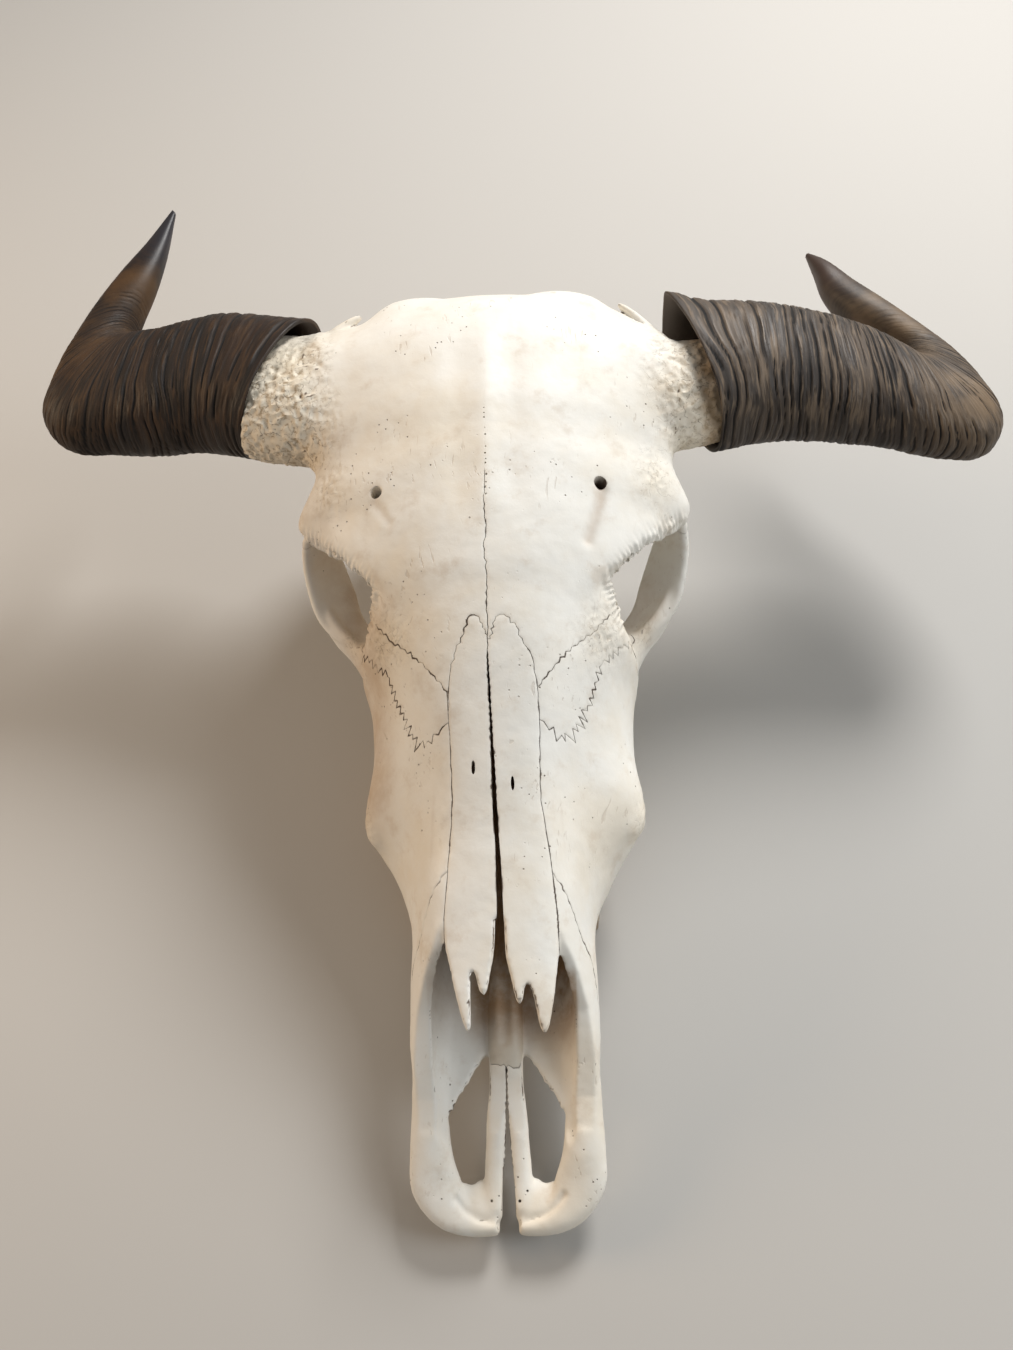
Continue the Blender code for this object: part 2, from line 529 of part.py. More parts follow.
def soften(thing, rounds, factor=0.5):
    modifier = thing.modifiers.new("soften", "SMOOTH")
    modifier.iterations = rounds
    modifier.factor = factor
    use_modifier(thing, modifier)


def thin_out(thing, triangles):
    solid = bmesh.new()
    solid.from_mesh(thing.data)
    bmesh.ops.triangulate(solid, faces=solid.faces)
    solid.to_mesh(thing.data)
    solid.free()
    modifier = thing.modifiers.new("thin", "DECIMATE")
    modifier.ratio = triangles / len(thing.data.polygons)
    use_modifier(thing, modifier)


def strip(name, edges, thickness, per_span=5, sides=16):
    """A closed band of even thickness between two edges, with rounded lips."""
    rows = closed_curve([tuple(outer) + tuple(inner) for outer, inner in edges], per_span)
    middles = 0.5 * (rows[:, :3] + rows[:, 3:])
    runs = np.roll(middles, -1, axis=0) - np.roll(middles, 1, axis=0)
    rings = []
    for row, middle, run in zip(rows, middles, runs):
        across = Vector(row[:3] - row[3:])
        half = 0.5 * across.length
        across.normalize()
        face = Vector(run).cross(across).normalized()
        ring = []
        for k in range(sides):
            angle = 2 * math.pi * k / sides
            out = math.copysign(abs(math.cos(angle)) ** LIP_FULLNESS, math.cos(angle)) * half
            up = math.copysign(abs(math.sin(angle)) ** LIP_FULLNESS, math.sin(angle)) * 0.5 * thickness
            ring.append(Vector(middle) + across * out + face * up)
        rings.append(ring)
    return loft(name, rings, closed=True)


def both_sides(things):
    return things + [mirror_mesh(thing) for thing in things]


def height_at_muzzle(start, slope):
    """Height at y = 0 of a sloping line that passes the start (y, z)."""
    return start[1] - slope * start[0]


def nasal_region(grow=0.0):
    """The space that a nasal bone and the open cavity's roof beside the midline take up."""
    low = height_at_muzzle(NASAL_FLOOR_START, NASAL_FLOOR_SLOPE)
    return prism("nasal_region", NASAL_OUTLINE, "z", low, ROOF, grow=grow, rise=NASAL_FLOOR_SLOPE)


def muzzle_cutter(name):
    """What is open above the muzzle, leaving out the nasal bones that reach over it."""
    opening = prism(name, OPEN_MUZZLE, "x", -FAR, FAR)
    for nasal in both_sides([nasal_region(grow=NASAL_CLEARANCE)]):
        cut(opening, nasal)
        remove_object(nasal)
    return opening


def body_of_skull():
    """The thick parts, run into each other with soft hollows between them."""
    side = [
        sweep("paracondylar", PARACONDYLAR_PROCESS, up=(0.0, 1.0, 0.0)),
        sweep("horn_core", HORN_CORE),
        swelling("facial_tuber", FACIAL_TUBER),
        swelling("temple_base", TEMPLE_BASE),
        swelling("jaw_socket", JAW_SOCKET),
        swelling("ear_capsule", EAR_CAPSULE),
        swelling("ear_opening", EAR_OPENING),
        swelling("condyle", CONDYLE, turn=CONDYLE_TURN),
        swelling("condyle_neck", CONDYLE_NECK),
        swelling("poll_hump", POLL_HUMP),
    ]
    middle = [
        section_loft("face", FACE_SECTIONS, face_half, FACE_SPAN_STEPS),
        section_loft("cranium", CRANIUM_SECTIONS, cranium_half, CRANIUM_SPAN_STEPS),
        swelling("nape_knob", NAPE_KNOB),
    ]
    body = fuse("body", both_sides(side) + middle)
    remesh(body, BLEND_VOXEL)
    soften(body, BLEND_ROUNDS)
    return body


def whole_skull():
    """The bones of the skull as one solid, before the sutures part them."""
    side = [
        strip("orbit_wall", ORBIT_WALL, ORBIT_WALL_THICKNESS),
        sweep("arch", ZYGOMATIC_ARCH),
        sweep("premaxilla_bar", PREMAXILLA_BAR),
        sweep("palatine_bar", PALATINE_BAR),
        sweep("pterygoid", PTERYGOID_PLATE),
        swelling("premaxilla_plate", PREMAXILLA_PLATE),
    ]
    skull = fuse("skull", [body_of_skull()] + both_sides(side))
    remesh(skull, FINE_VOXEL)
    hole = prism("hole", PALATINE_HOLE, "z", -0.020, 0.060)
    slot = prism("slot", MIDLINE_SLOT, "z", -0.020, 0.060)
    orbit = swelling("orbit", Swelling(ORBIT_HOLLOW_CENTRE, ORBIT_HOLLOW_RADII))
    corner = swelling("corner", Swelling(ORBIT_CORNER_CENTRE, ORBIT_CORNER_RADII))
    cutters = both_sides([hole, slot, orbit, corner])
    cutters.append(section_loft("cavity", CAVITY_SECTIONS, cavity_half, FACE_SPAN_STEPS))
    cutters.append(swelling("spinal_opening", SPINAL_OPENING))
    cutters.append(muzzle_cutter("opening"))
    for cutter in cutters:
        cut(skull, cutter)
        remove_object(cutter)
    skull = fuse("skull", [skull, sweep("vomer", VOMER_RUN)])
    remesh(skull, FINE_VOXEL)
    soften(skull, FINE_ROUNDS)
    thin_out(skull, BONE_TRIANGLES)
    largest_shell(skull)
    return skull


def take(rest, name, region, **size):
    """Part the bone inside a region from the rest, leaving the width of a suture between them."""
    bone = copy_object(rest, name)
    inner = prism("region", region, **size)
    outer = prism("region", region, grow=SUTURE_GAP, **size)
    cut(bone, inner, "INTERSECT")
    cut(rest, outer)
    remove_object(inner)
    remove_object(outer)
    largest_shell(bone)
    return bone


def trim(thing, outline, **size):
    cutter = prism("cutter", outline, **size)
    cut(thing, cutter)
    remove_object(cutter)


def box_plan(x_low, x_high, y_low, y_high):
    return [(x_low, y_low), (x_high, y_low), (x_high, y_high), (x_low, y_high)]


def part_the_bones(skull):
    """Part the skull along its sutures; the bones of the left side are made first, then mirrored."""
    trim(skull, box_plan(-FAR, FAR, -FAR, FAR), axis="z", low=-FAR, high=0.0)
    vomer_low = height_at_muzzle(VOMER_FLOOR_START, VOMER_FLOOR_SLOPE)
    middle = [
        take(skull, "vomer", VOMER_PLAN, axis="z", low=vomer_low, high=VOMER_HIGH, rise=VOMER_FLOOR_SLOPE),
        take(skull, "occipital", OCCIPITAL_SIDE, axis="x", low=-FAR, high=FAR),
        take(skull, "sphenoid", SPHENOID_PLAN, axis="z", low=-ROOF, high=FRONTAL_FLOOR),
    ]
    trim(skull, box_plan(-FAR, 0.5 * MIDLINE_GAP, -FAR, FAR), axis="z", low=-FAR, high=FAR)
    nasal_low = height_at_muzzle(NASAL_FLOOR_START, NASAL_FLOOR_SLOPE)
    core_plan = box_plan(HORN_CORE_ROOT, FAR, HORN_CORE_FRONT, FAR)
    side = [
        take(skull, "nasal_left", NASAL_OUTLINE, axis="z", low=nasal_low, high=ROOF, rise=NASAL_FLOOR_SLOPE),
        take(skull, "lacrimal_left", LACRIMAL_PLAN, axis="z", low=LACRIMAL_FLOOR, high=ROOF),
        take(skull, "horn_core_left", core_plan, axis="z", low=HORN_CORE_FLOOR, high=ROOF),
        take(skull, "frontal_left", FRONTAL_PLAN, axis="z", low=FRONTAL_FLOOR, high=ROOF),
        take(skull, "zygomatic_left", ZYGOMATIC_PLAN, axis="z", low=ZYGOMATIC_FLOOR, high=FRONTAL_FLOOR),
        take(skull, "premaxilla_left", PREMAXILLA_SIDE, axis="x", low=-FAR, high=FAR),
        take(skull, "maxilla_left", box_plan(-FAR, FAR, -FAR, MAXILLA_REAR), axis="z", low=-FAR, high=ROOF),
    ]
    skull.name = "temporal_left"
    largest_shell(skull)
    side.append(skull)
    return middle, side


def tooth(name, size, centre, two_lobed):
    """One cheek tooth, worn flat; a molar narrows between its two lobes."""
    rings = []
    for z, share in ((0.0, 0.96), (0.5 * TOOTH_ROOT_TOP, 1.0), (TOOTH_ROOT_TOP, 0.94)):
        ring = []
        for k in range(TOOTH_SIDES):
            angle = 2 * math.pi * (k + 0.5) / TOOTH_SIDES
            along = math.copysign(abs(math.sin(angle)) ** 0.7, math.sin(angle))
            across = math.copysign(abs(math.cos(angle)) ** 0.7, math.cos(angle))
            if two_lobed:
                across *= 1.0 - 0.14 * math.exp(-(along / 0.3) ** 2)
            ring.append((centre[0] + 0.5 * size.width * share * across,
                         centre[1] + 0.5 * size.length * share * along, z))
        rings.append(ring)
    return loft(name, rings)


def add_cheek_teeth(maxilla):
    """Fuse the row of six teeth into the maxilla, each root sunk in the bone."""
    row_end = TOOTH_ROW_START + sum(t.length for t in CHEEK_TEETH)
    place = TOOTH_ROW_START
    for number, size in enumerate(CHEEK_TEETH):
        middle = place + 0.5 * size.length
        place += size.length
        share = (middle - TOOTH_ROW_START) / (row_end - TOOTH_ROW_START)
        x = float(np.interp(share, (0.0, 0.5, 1.0), TOOTH_ROW_BEND))
        piece = tooth("tooth", size, (x, middle), two_lobed=number > 2)
        cut(maxilla, piece, "UNION")
        remove_object(piece)
    largest_shell(maxilla)


def horn_ring(row, scale, thinner=0.0):
    """One ring of a horn, between its two edges; it can be made thinner all round."""
    outer, inner = Vector((row[0], row[1], row[4])), Vector((row[2], row[3], row[4]))
    across = 0.5 * (outer - inner)
    middle = 0.5 * (outer + inner)
    width = (across.length - thinner) * scale
    high = (0.5 * row[5] - thinner) * scale
    across.normalize()
    ring = []
    for k in range(HORN_SIDES):
        angle = 2 * math.pi * k / HORN_SIDES
        out = math.copysign(abs(math.cos(angle)) ** HORN_SECTION_FULLNESS, math.cos(angle))
        up = math.copysign(abs(math.sin(angle)) ** HORN_SECTION_FULLNESS, math.sin(angle))
        ring.append(middle + across * (width * out) + Vector((0.0, 0.0, high * up)))
    return ring


def horn_rows(stations, wanted):
    """Edges, height and thickness of a horn at places along it, counted from its rim."""
    rows = [tuple(s.outer) + tuple(s.inner) + (s.z, s.height) for s in stations]
    return smooth_values(horn_places(stations), rows, wanted)


def horn_places(stations):
    legs = [math.dist(a.outer, b.outer) for a, b in zip(stations, stations[1:])]
    return np.concatenate([[0.0], np.cumsum(legs)])


def socket_rings(stations, thinner):
    """The socket from its bottom to the rim."""
    rows = horn_rows(stations, SOCKET_DEPTH * np.array([1.0, 0.7, 0.35, 0.0]))
    return [horn_ring(row, share, SOCKET_WALL + thinner) for row, share in zip(rows, SOCKET_SHARES)]


def horn_sheath(name, stations):
    """A ridged sheath, smooth towards the tip, with a socket that the horn core enters."""
    step = 0.5 * HORN_RIDGE_SPACING
    end = horn_places(stations)[-1]
    ridged = np.arange(0.0, HORN_RIDGED_LENGTH, step)
    plain = np.linspace(ridged[-1] + step, end, int((end - ridged[-1]) / (1.4 * step)))
    rings = []
    for k, row in enumerate(horn_rows(stations, np.concatenate([ridged, plain]))):
        swell = HORN_RIDGE_HEIGHT * (1.0 if k % 2 else -1.0) * (k < len(ridged))
        rings.append(horn_ring(row, 1.0, -swell))
    return loft(name, socket_rings(stations, 0.0) + rings)


def fit_core(core, stations):
    """Trim a horn core so that it enters its sheath and stops short of the sheath's rim outside."""
    collar = [horn_ring(row, 1.0, -COLLAR) for row in horn_rows(stations, np.array([-SOCKET_GAP, COLLAR_LENGTH]))]
    rim = horn_ring(horn_rows(stations, np.array([-SOCKET_GAP]))[0], 1.0, SOCKET_WALL + SOCKET_GAP)
    cutter = loft("collar", socket_rings(stations, SOCKET_GAP)[:-1] + [rim] + collar)
    cut(core, cutter)
    remove_object(cutter)
    largest_shell(core)


def give_material(thing, name, colour, roughness):
    material = bpy.data.materials.new(name)
    material.use_nodes = True
    shader = material.node_tree.nodes["Principled BSDF"]
    shader.inputs["Base Color"].default_value = colour
    shader.inputs["Roughness"].default_value = roughness
    shader.inputs["Metallic"].default_value = 0.0
    material.diffuse_color = colour
    thing.data.materials.clear()
    thing.data.materials.append(material)


def shade(thing):
    """Smooth shading, but for the worn, cut and parted edges."""
    thing.data.shade_smooth()
    thing.data.set_sharp_from_angle(angle=CREASE_ANGLE)


def centre_over_floor(things):
    """Move all so that the middle of the outer box is over the origin and its underside is the floor."""
    corners = np.array([vertex.co for thing in things for vertex in thing.data.vertices])
    low, high = corners.min(axis=0), corners.max(axis=0)
    shift = Matrix.Translation((-0.5 * (low[0] + high[0]), -0.5 * (low[1] + high[1]), -low[2]))
    for thing in things:
        thing.data.transform(shift)


clear_scene()
skull = whole_skull()
middle_bones, left_bones = part_the_bones(skull)
add_cheek_teeth(next(bone for bone in left_bones if bone.name.startswith("maxilla")))
right_bones = []
for bone in left_bones:
    twin = mirror_mesh(bone)
    twin.name = bone.name.replace("left", "right")
    right_bones.append(twin)
bones = middle_bones + left_bones + right_bones
for bone in bones:
    if bone.name.startswith("horn_core"):
        fit_core(bone, RIGHT_HORN if bone.name.endswith("right") else LEFT_HORN)
horns = [
    horn_sheath("horn_sheath_right", RIGHT_HORN),
    horn_sheath("horn_sheath_left", LEFT_HORN),
]
for bone in bones:
    give_material(bone, bone.name + "_bone", BONE_COLOUR, BONE_ROUGHNESS)
for horn in horns:
    give_material(horn, horn.name + "_keratin", HORN_COLOUR, HORN_ROUGHNESS)
for thing in bones + horns:
    shade(thing)
centre_over_floor(bones + horns)
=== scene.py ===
"""Dressed model of a water buffalo's skull with both horns.

The bone is formed again from the part's own sizes, finely enough to carry sutures, rims and pores, and it
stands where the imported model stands. Lengths are metres, apart from the tables in millimetres that metres()
reads. While the bone is formed, x runs to the skull's left, y from the tip of the muzzle back to the poll
and z up from the floor.
"""

import math
from collections import namedtuple

import bmesh
import bpy
import numpy as np
from mathutils import Euler, Matrix, Vector
from mathutils.kdtree import KDTree


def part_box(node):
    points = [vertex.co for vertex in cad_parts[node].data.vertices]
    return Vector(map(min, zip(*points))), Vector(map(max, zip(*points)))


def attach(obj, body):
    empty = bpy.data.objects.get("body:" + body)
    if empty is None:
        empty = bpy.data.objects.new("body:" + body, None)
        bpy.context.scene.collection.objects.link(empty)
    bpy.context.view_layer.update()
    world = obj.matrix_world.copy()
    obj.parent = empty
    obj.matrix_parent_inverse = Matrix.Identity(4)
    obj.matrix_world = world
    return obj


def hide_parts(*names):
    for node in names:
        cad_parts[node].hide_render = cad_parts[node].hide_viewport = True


def metres(sizes):
    """Sizes that are written in millimetres, to a tenth of one."""
    return (np.round(np.multiply(sizes, 10)) / 10000).tolist()


def sections(fields, rows):
    """Sections across the skull, each a row of named sizes in millimetres."""
    kind = namedtuple("Section", fields)
    return [kind(*row) for row in metres(rows)]


# How finely the bone is formed, and how wide its sutures are
BLEND_VOXEL = 0.0026
BLEND_ROUNDS = 12
JOIN_VOXEL = 0.0014
SKIN_VOXEL = 0.0011
SKIN_ROUNDS = 8
SECTION_SPACING = 0.006
SUTURE_GAP = 0.00005
HAIR_GAP = 0.00002
# Cutters reach beyond the bone to each side, above it and below it
FAR = 0.7
ROOF = 0.3
BELOW = -0.1
LEVEL = (0.0, 0.0, 0.0)

# The line between the two halves: its width in front and behind, and how far to the left it bends on its way
OPEN_MIDLINE = 0.00016
CLOSED_MIDLINE = 0.00002
MIDLINE_CLOSES = 0.350
MIDLINE_SPAN = (-0.05, 0.57)
MIDLINE_TOP = 0.4
MIDLINE_STEP = 0.0022
MIDLINE_TOOTH = 0.0006
MIDLINE_TOOTHED_RUN = (0.262, 0.285, 0.345, 0.370)
MIDLINE_PLACES = metres((85, 120, 170, 190, 220, 270, 285, 295, 310, 325, 335, 350, 380))
MIDLINE_BENDS = metres((0, 1.2, 1, 0.2, -0.6, -1.7, -0.8, -1.4, -0.8, -1.8, -0.8, -1.4, 0))

# Face from the muzzle to the orbits: half widths from the midline and heights
FACE_SECTIONS = sections("y roof nasal_half nasal_z flank_half flank_z cheek_half cheek_z gum_half gum_z "
                         "gum_inner palate_half palate_z", [
    (60, 78, 27, 75, 40, 55, 48, 34, 44, 24, 40, 31, 29),
    (78, 84, 27, 81, 43, 61, 50, 40, 47, 26, 40, 30, 30),
    (95, 90, 28, 86, 43, 66, 51.5, 44, 48, 26, 39, 29, 31),
    (125, 99, 30, 93, 43, 75, 51.5, 50, 46, 27, 38, 28, 33),
    (160, 109, 30, 103, 43, 85, 52, 53, 47, 28, 37, 28, 36),
    (185, 117, 27, 111, 45, 92, 62, 54, 56, 29, 36, 30, 38),
    (215, 130, 25, 124, 47, 103, 81, 66, 64, 30, 37, 31, 40),
    (250, 146, 27, 141, 50, 120, 77.5, 74, 66, 30, 37, 31, 42),
    (281, 161, 31, 155, 61, 130, 79, 78, 65, 30, 37, 31, 43),
    (302, 170, 36, 162, 70, 134, 81.5, 88, 60, 31, 36, 30, 44),
    (318, 176, 40, 167, 63, 147, 64, 98, 48, 48, 36, 26, 54),
    (334, 178, 36, 166, 50, 146, 50, 100, 36, 64, 30, 22, 64),
])
# Nasal cavity, open in front between the premaxillae and behind over the end of the hard palate
CAVITY_SECTIONS = sections("y top top_half middle_half middle_z floor_half floor_z", [
    (34, 100, 24, 34, 52, 28, 37), (48, 100, 24, 36.5, 45, 30, 30), (64, 86, 24, 37, 48, 30, 32.5),
    (82, 81.5, 23, 37.5, 52, 30, 36.5), (110, 90, 26, 38.5, 60, 29, 39), (160, 104, 25, 36, 68, 28, 42),
    (200, 117, 20, 34, 74, 26, 45), (250, 126, 16, 28, 80, 22, 48), (300, 92, 12, 20, 72, 18, 49),
    (350, 74, 10, 16, 58, 15, 20),
])
# Forehead, braincase and nape: the brow is the outer edge of the forehead, the eave its thickness there
CRANIUM_SECTIONS = sections("y roof brow_half brow_z eave wall_half wall_z base_half base_z", [
    (285, 161, 30, 150, 10, 34, 120, 22, 72), (305, 171, 48, 156, 12, 36, 115, 22, 66),
    (320, 178, 64, 156, 12, 38, 115, 21, 61), (335, 183, 77.5, 156, 12, 38, 115, 20, 58),
    (350, 188, 93, 152, 12, 40, 115, 20, 57), (362, 191, 105, 148, 13, 43, 115, 20, 56),
    (371, 193, 113.5, 149, 13, 47, 114, 20, 55.5), (381, 196, 110.5, 155, 14, 51, 112, 20, 55),
    (395, 199, 104.5, 161, 16, 56, 110, 21, 54), (416, 204, 108, 170, 28, 60, 108, 24, 53),
    (436, 206, 109, 179, 40, 61, 107, 26, 52), (455, 208, 110, 184, 48, 62, 105, 28, 52),
    (475, 207, 110, 184, 48, 66, 100, 32, 52), (490, 203, 107, 180, 42, 76, 100, 36, 52),
    (503, 195, 101, 172, 34, 88, 100, 40, 52), (512, 178, 86, 160, 26, 82, 102, 36, 56),
    (518, 156, 58, 144, 14, 56, 112, 28, 74),
])

# Left orbit: points round its rim, each with the inner edge of the wall behind it
ORBIT_WALL = metres([
    (67, 322, 150, 58, 334, 146), (81, 339, 151, 70, 351, 147), (96, 354.5, 147, 84, 366, 142),
    (110, 368, 141, 100.5, 384, 127), (113.5, 358, 122, 96, 380, 104), (109, 338, 104, 88, 362, 94),
    (99, 326, 96, 81, 342, 89), (85, 316, 96, 70, 327, 88), (75, 308, 108, 62, 318, 100),
    (72, 307, 125, 60, 317, 120), (69, 313, 141, 58, 324, 137),
])
ORBIT_WALL_THICKNESS = 0.0070
LIP_FULLNESS = 0.6

# Bars and plates, each a run of x, y, z, width and height
ZYGOMATIC_ARCH = metres([
    (70, 284, 83, 14, 30), (76.5, 304, 84, 12, 28), (84.5, 319, 86, 11, 26), (95.5, 331, 90, 10, 23),
    (103.5, 345, 95, 10, 21), (107, 364, 98, 9, 20), (102, 392, 97, 9, 17), (91, 420, 95, 11, 16),
    (76, 438, 92, 18, 18), (54, 450, 90, 24, 26),
])
PREMAXILLA_BAR = metres([
    (43.5, 100, 40, 14, 30), (43, 82, 36, 15, 26), (41.2, 60, 30, 20, 20), (40.5, 42, 26, 23, 17),
    (38, 27, 21, 27, 14), (28.5, 13.5, 16.8, 21, 12), (17, 8, 14.5, 13, 11), (5, 7.4, 14, 10, 10),
])
PALATINE_BAR = metres([
    (8, 14, 15.5, 11.5, 9), (7.4, 26, 18, 11.5, 9), (6.3, 47, 23.5, 11, 10), (5.7, 62, 28.2, 10.5, 11),
    (5.5, 75, 31.5, 10.5, 12), (5, 84, 32.5, 10.5, 10),
])
PTERYGOID_PLATE = metres([
    (24, 296, 46, 8, 26), (23, 325, 46, 5, 34), (20, 350, 48, 5, 34), (17, 378, 56, 6, 20),
])
PARACONDYLAR_PROCESS = metres([
    (66, 498, 100, 34, 24), (61, 497, 68, 30, 20), (55, 493, 34, 24, 16), (49, 488, -6, 18, 13),
])
HORN_CORE = metres([
    (56, 453, 170, 64, 30), (84, 452, 164, 82, 50), (104, 453.5, 160, 85, 60), (122, 457, 158, 82, 61),
    (137, 462, 157, 79, 60), (148, 467, 156, 64, 53), (159, 472, 155, 46, 42), (169, 475, 154, 30, 29),
])
# Groove of the vomer on the floor of the nasal cavity, and the bone that carries it
VOMER_RUN = metres([
    (0, 80, 32.5, 18.5, 9.5), (0, 92, 36.5, 18.5, 12), (0, 110, 40, 18, 13), (0, 160, 43.5, 14, 15),
    (0, 290, 50, 9, 20),
])
VOMER_TROUGH = metres([
    (0, 93, 45.5, 9, 8), (0, 110, 48, 9, 8), (0, 160, 53, 7, 8), (0, 280, 62, 5, 8),
])
# Slivers of broken bone at the rear edge of the forehead
SLIVERS = metres([
    [
        (-97, 496, 180, 6, 6), (-90, 501, 181, 6, 6.8), (-83, 505.5, 182, 5, 6.4),
        (-77, 508.5, 183.5, 3, 4),
    ],
    [
        (79, 507, 183.5, 3, 4), (86, 505, 182.2, 5.6, 6.4), (93, 501.5, 180.2, 6, 6.6),
        (99, 496, 178.5, 5, 6),
    ],
])

# Swellings and hollows, each x, y, z and three radii in millimetres
BODY_SWELLINGS = {
    "facial_tuber": (71, 218, 65, 12, 18, 11),
    "temple_base": (46, 452, 80, 26, 40, 22),
    "jaw_socket": (66, 432, 85, 26, 20, 13),
    "ear_capsule": (38, 458, 60, 14, 22, 15),
    "ear_opening": (66, 468, 83, 20, 13, 14),
    "condyle": (23, 512, 60, 17, 15, 19),
    "condyle_neck": (18, 497, 66, 32, 20, 22),
    "poll_hump": (40, 485, 181, 40, 28, 18),
}
SWELLING_TURNS = {"condyle": (0.3, 0.0, 0.25)}
NAPE_KNOB = (0, 513, 136, 16, 10, 20)
PREMAXILLA_PLATE = (16, 18, 15, 15, 13, 5)
SPINAL_OPENING = (0, 522, 73, 16, 34, 14.5)
ORBIT_HOLLOW = (81, 343, 123, 27, 30, 25)
ORBIT_CORNER = (97, 354.5, 128, 12, 15, 12.5)
NASAL_SLOTS = [(-11, 217.8, 125, 1.2, 4.6, 7), (9.7, 210.1, 121, 1.3, 5.6, 7)]

# Nasal bones seen from above, each drawn as a left one: the suture from the midline forwards, the free edge
# with its forked tip, and the line round that edge up to which the cut for the bone reaches
NASAL_SUTURE = {
    "left": metres([
        (-2, 278.5), (0.2, 278.5), (2.9, 287.5), (5.7, 290.3), (9, 289.7), (14.4, 284.4), (17.9, 276.5),
        (22.4, 270), (24.5, 256.4), (25, 241.3), (24.6, 229.4), (24.3, 201.8), (26.8, 185), (29, 168),
    ]),
    "right": metres([
        (-2, 278.5), (0.2, 278.5), (5, 287.1), (8, 290.9), (11.3, 290.3), (14, 282.1), (18.7, 274.7),
        (21.7, 266.5), (23.3, 256.7), (23.8, 242.9), (23.2, 227.5), (22.9, 203.2), (25, 178.8),
        (26.2, 166.1),
    ]),
}
NASAL_EDGE = {
    "left": metres([
        (29, 168), (31, 145), (30.8, 124.6), (28.4, 106), (25, 91), (22.8, 86.8), (20.5, 90), (17.6, 104),
        (15.2, 110.5), (13.5, 110), (12.4, 104), (10.4, 99.5), (8.5, 103), (6.2, 113), (3.6, 124),
        (3.1, 151), (2.2, 176),
    ]),
    "right": metres([
        (26.2, 166.1), (28, 145), (27.8, 129), (25, 116.5), (22.2, 104.5), (19, 93), (16.6, 88), (15, 90.5),
        (14.8, 105), (14.4, 116.5), (13.3, 119), (12, 115), (10.5, 108), (8, 105), (6, 108), (4.2, 116),
        (2.4, 124), (0.6, 151), (0.6, 176),
    ]),
}
NASAL_ENVELOPE = {
    "left": metres([
        (31.2, 145), (31.6, 124), (30, 105), (29, 78), (-2, 78),
    ]),
    "right": metres([
        (28.4, 145), (28.6, 129), (26.8, 116), (24.5, 103), (24, 78), (-2, 78),
    ]),
}
NASAL_SLIT_SIDE = {"left": (0.0022, 0.1800), "right": (0.0006, 0.1800)}
NASAL_SLIT = metres([
    (-0.6, 115), (3.6, 115), (3.3, 131.6), (3, 146.3), (2.6, 160), (2.2, 172), (1.5, 185), (1.1, 199),
    (0.6, 219), (-0.1, 229), (-0.5, 245), (-1, 262), (-1.4, 274), (-2.2, 270), (-1.7, 255), (-1.4, 239),
    (-1.5, 219), (-1.4, 199), (-0.6, 185), (-0.3, 170), (-0.2, 150), (-0.5, 122),
])
NASAL_SLIT_SPAN = (0.086, 0.200)
NASAL_FLOOR_START = (0.085, 0.070)
NASAL_FLOOR_SLOPE = 0.385
NASAL_LOW = NASAL_FLOOR_START[1] - NASAL_FLOOR_SLOPE * NASAL_FLOOR_START[0]

# Hole between the premaxilla's outer bar and the palate, and the slot on the midline, seen from above
PALATINE_HOLE = metres([
    (9, 95), (18, 81), (26.5, 69), (29, 59), (29.5, 48), (27.2, 38), (24.5, 31.5), (21.5, 27.8),
    (18.5, 27.4), (16, 30), (13.8, 37), (11.8, 50), (9, 75),
])
MIDLINE_SLOT = metres([
    (0.6, 83), (0.5, 74), (0.9, 60), (1.3, 48), (2.6, 33), (3.4, 22), (3.6, -10), (-3.6, -10), (-3.4, 22),
    (-2.6, 33), (-1, 48), (-0.6, 60), (0, 74), (0.3, 83),
])
PALATE_SPAN = (-0.020, 0.060)
# Side view of what is cut away round the nasal bones: the open muzzle
OPEN_MUZZLE = metres([
    (143, 99), (131, 90), (120, 77), (105, 63), (80, 48.5), (66, 40.5), (50, 36), (50, 160), (143, 160),
])

# Sutures: side views (y, z) or plans (x, y) of the bones that they bound, and the heights where those end
OCCIPITAL_SIDE = metres([
    (507, 186), (484, 90), (476, -20), (560, -20), (560, 186),
])
SPHENOID_PLAN = metres([
    (-66, 313), (66, 313), (66, 384), (27, 396), (27, 520), (-27, 520), (-27, 396), (-66, 384),
])
LACRIMAL_PLAN = metres([
    (24.3, 255.6), (24, 241), (30, 237), (38.5, 234.5), (45.5, 242), (51, 254), (60, 279), (72, 293),
    (83, 308), (76, 322), (69, 308), (56, 291), (48, 283.8), (34.5, 269),
])
FRONTAL_PLAN = metres([
    (-10, 248), (24, 248), (34.5, 266), (48, 281), (56, 288.5), (70, 306), (76, 322), (120, 330),
    (120, 540), (-10, 540),
])
ZYGOMATIC_PLAN = metres([
    (83, 293), (69, 313), (76, 360), (83, 402), (130, 390), (130, 293),
])
PREMAXILLA_SIDE = metres([
    (168, 106.5), (154, 94.5), (142.5, 81.5), (132, 64), (110, 48), (88, 34), (79, 0), (-20, 0), (-20, 120),
    (168, 120),
])
VOMER_PLAN = metres([
    (-9.5, 85.3), (-4.8, 84.7), (-2.6, 83.7), (-1, 84.5), (0.4, 82.9), (1.4, 84.1), (2.6, 83.4), (4, 82.6),
    (9.5, 83.5), (9.5, 285), (-9.5, 285),
])
VOMER_FLOOR_START = (0.085, 0.0370)
VOMER_FLOOR_SLOPE = 0.060
VOMER_LOW = VOMER_FLOOR_START[1] - VOMER_FLOOR_SLOPE * VOMER_FLOOR_START[0]
VOMER_HIGH = 0.066
SPHENOID_FLOOR = -0.01
FRONTAL_FLOOR = 0.132
LACRIMAL_FLOOR = 0.100
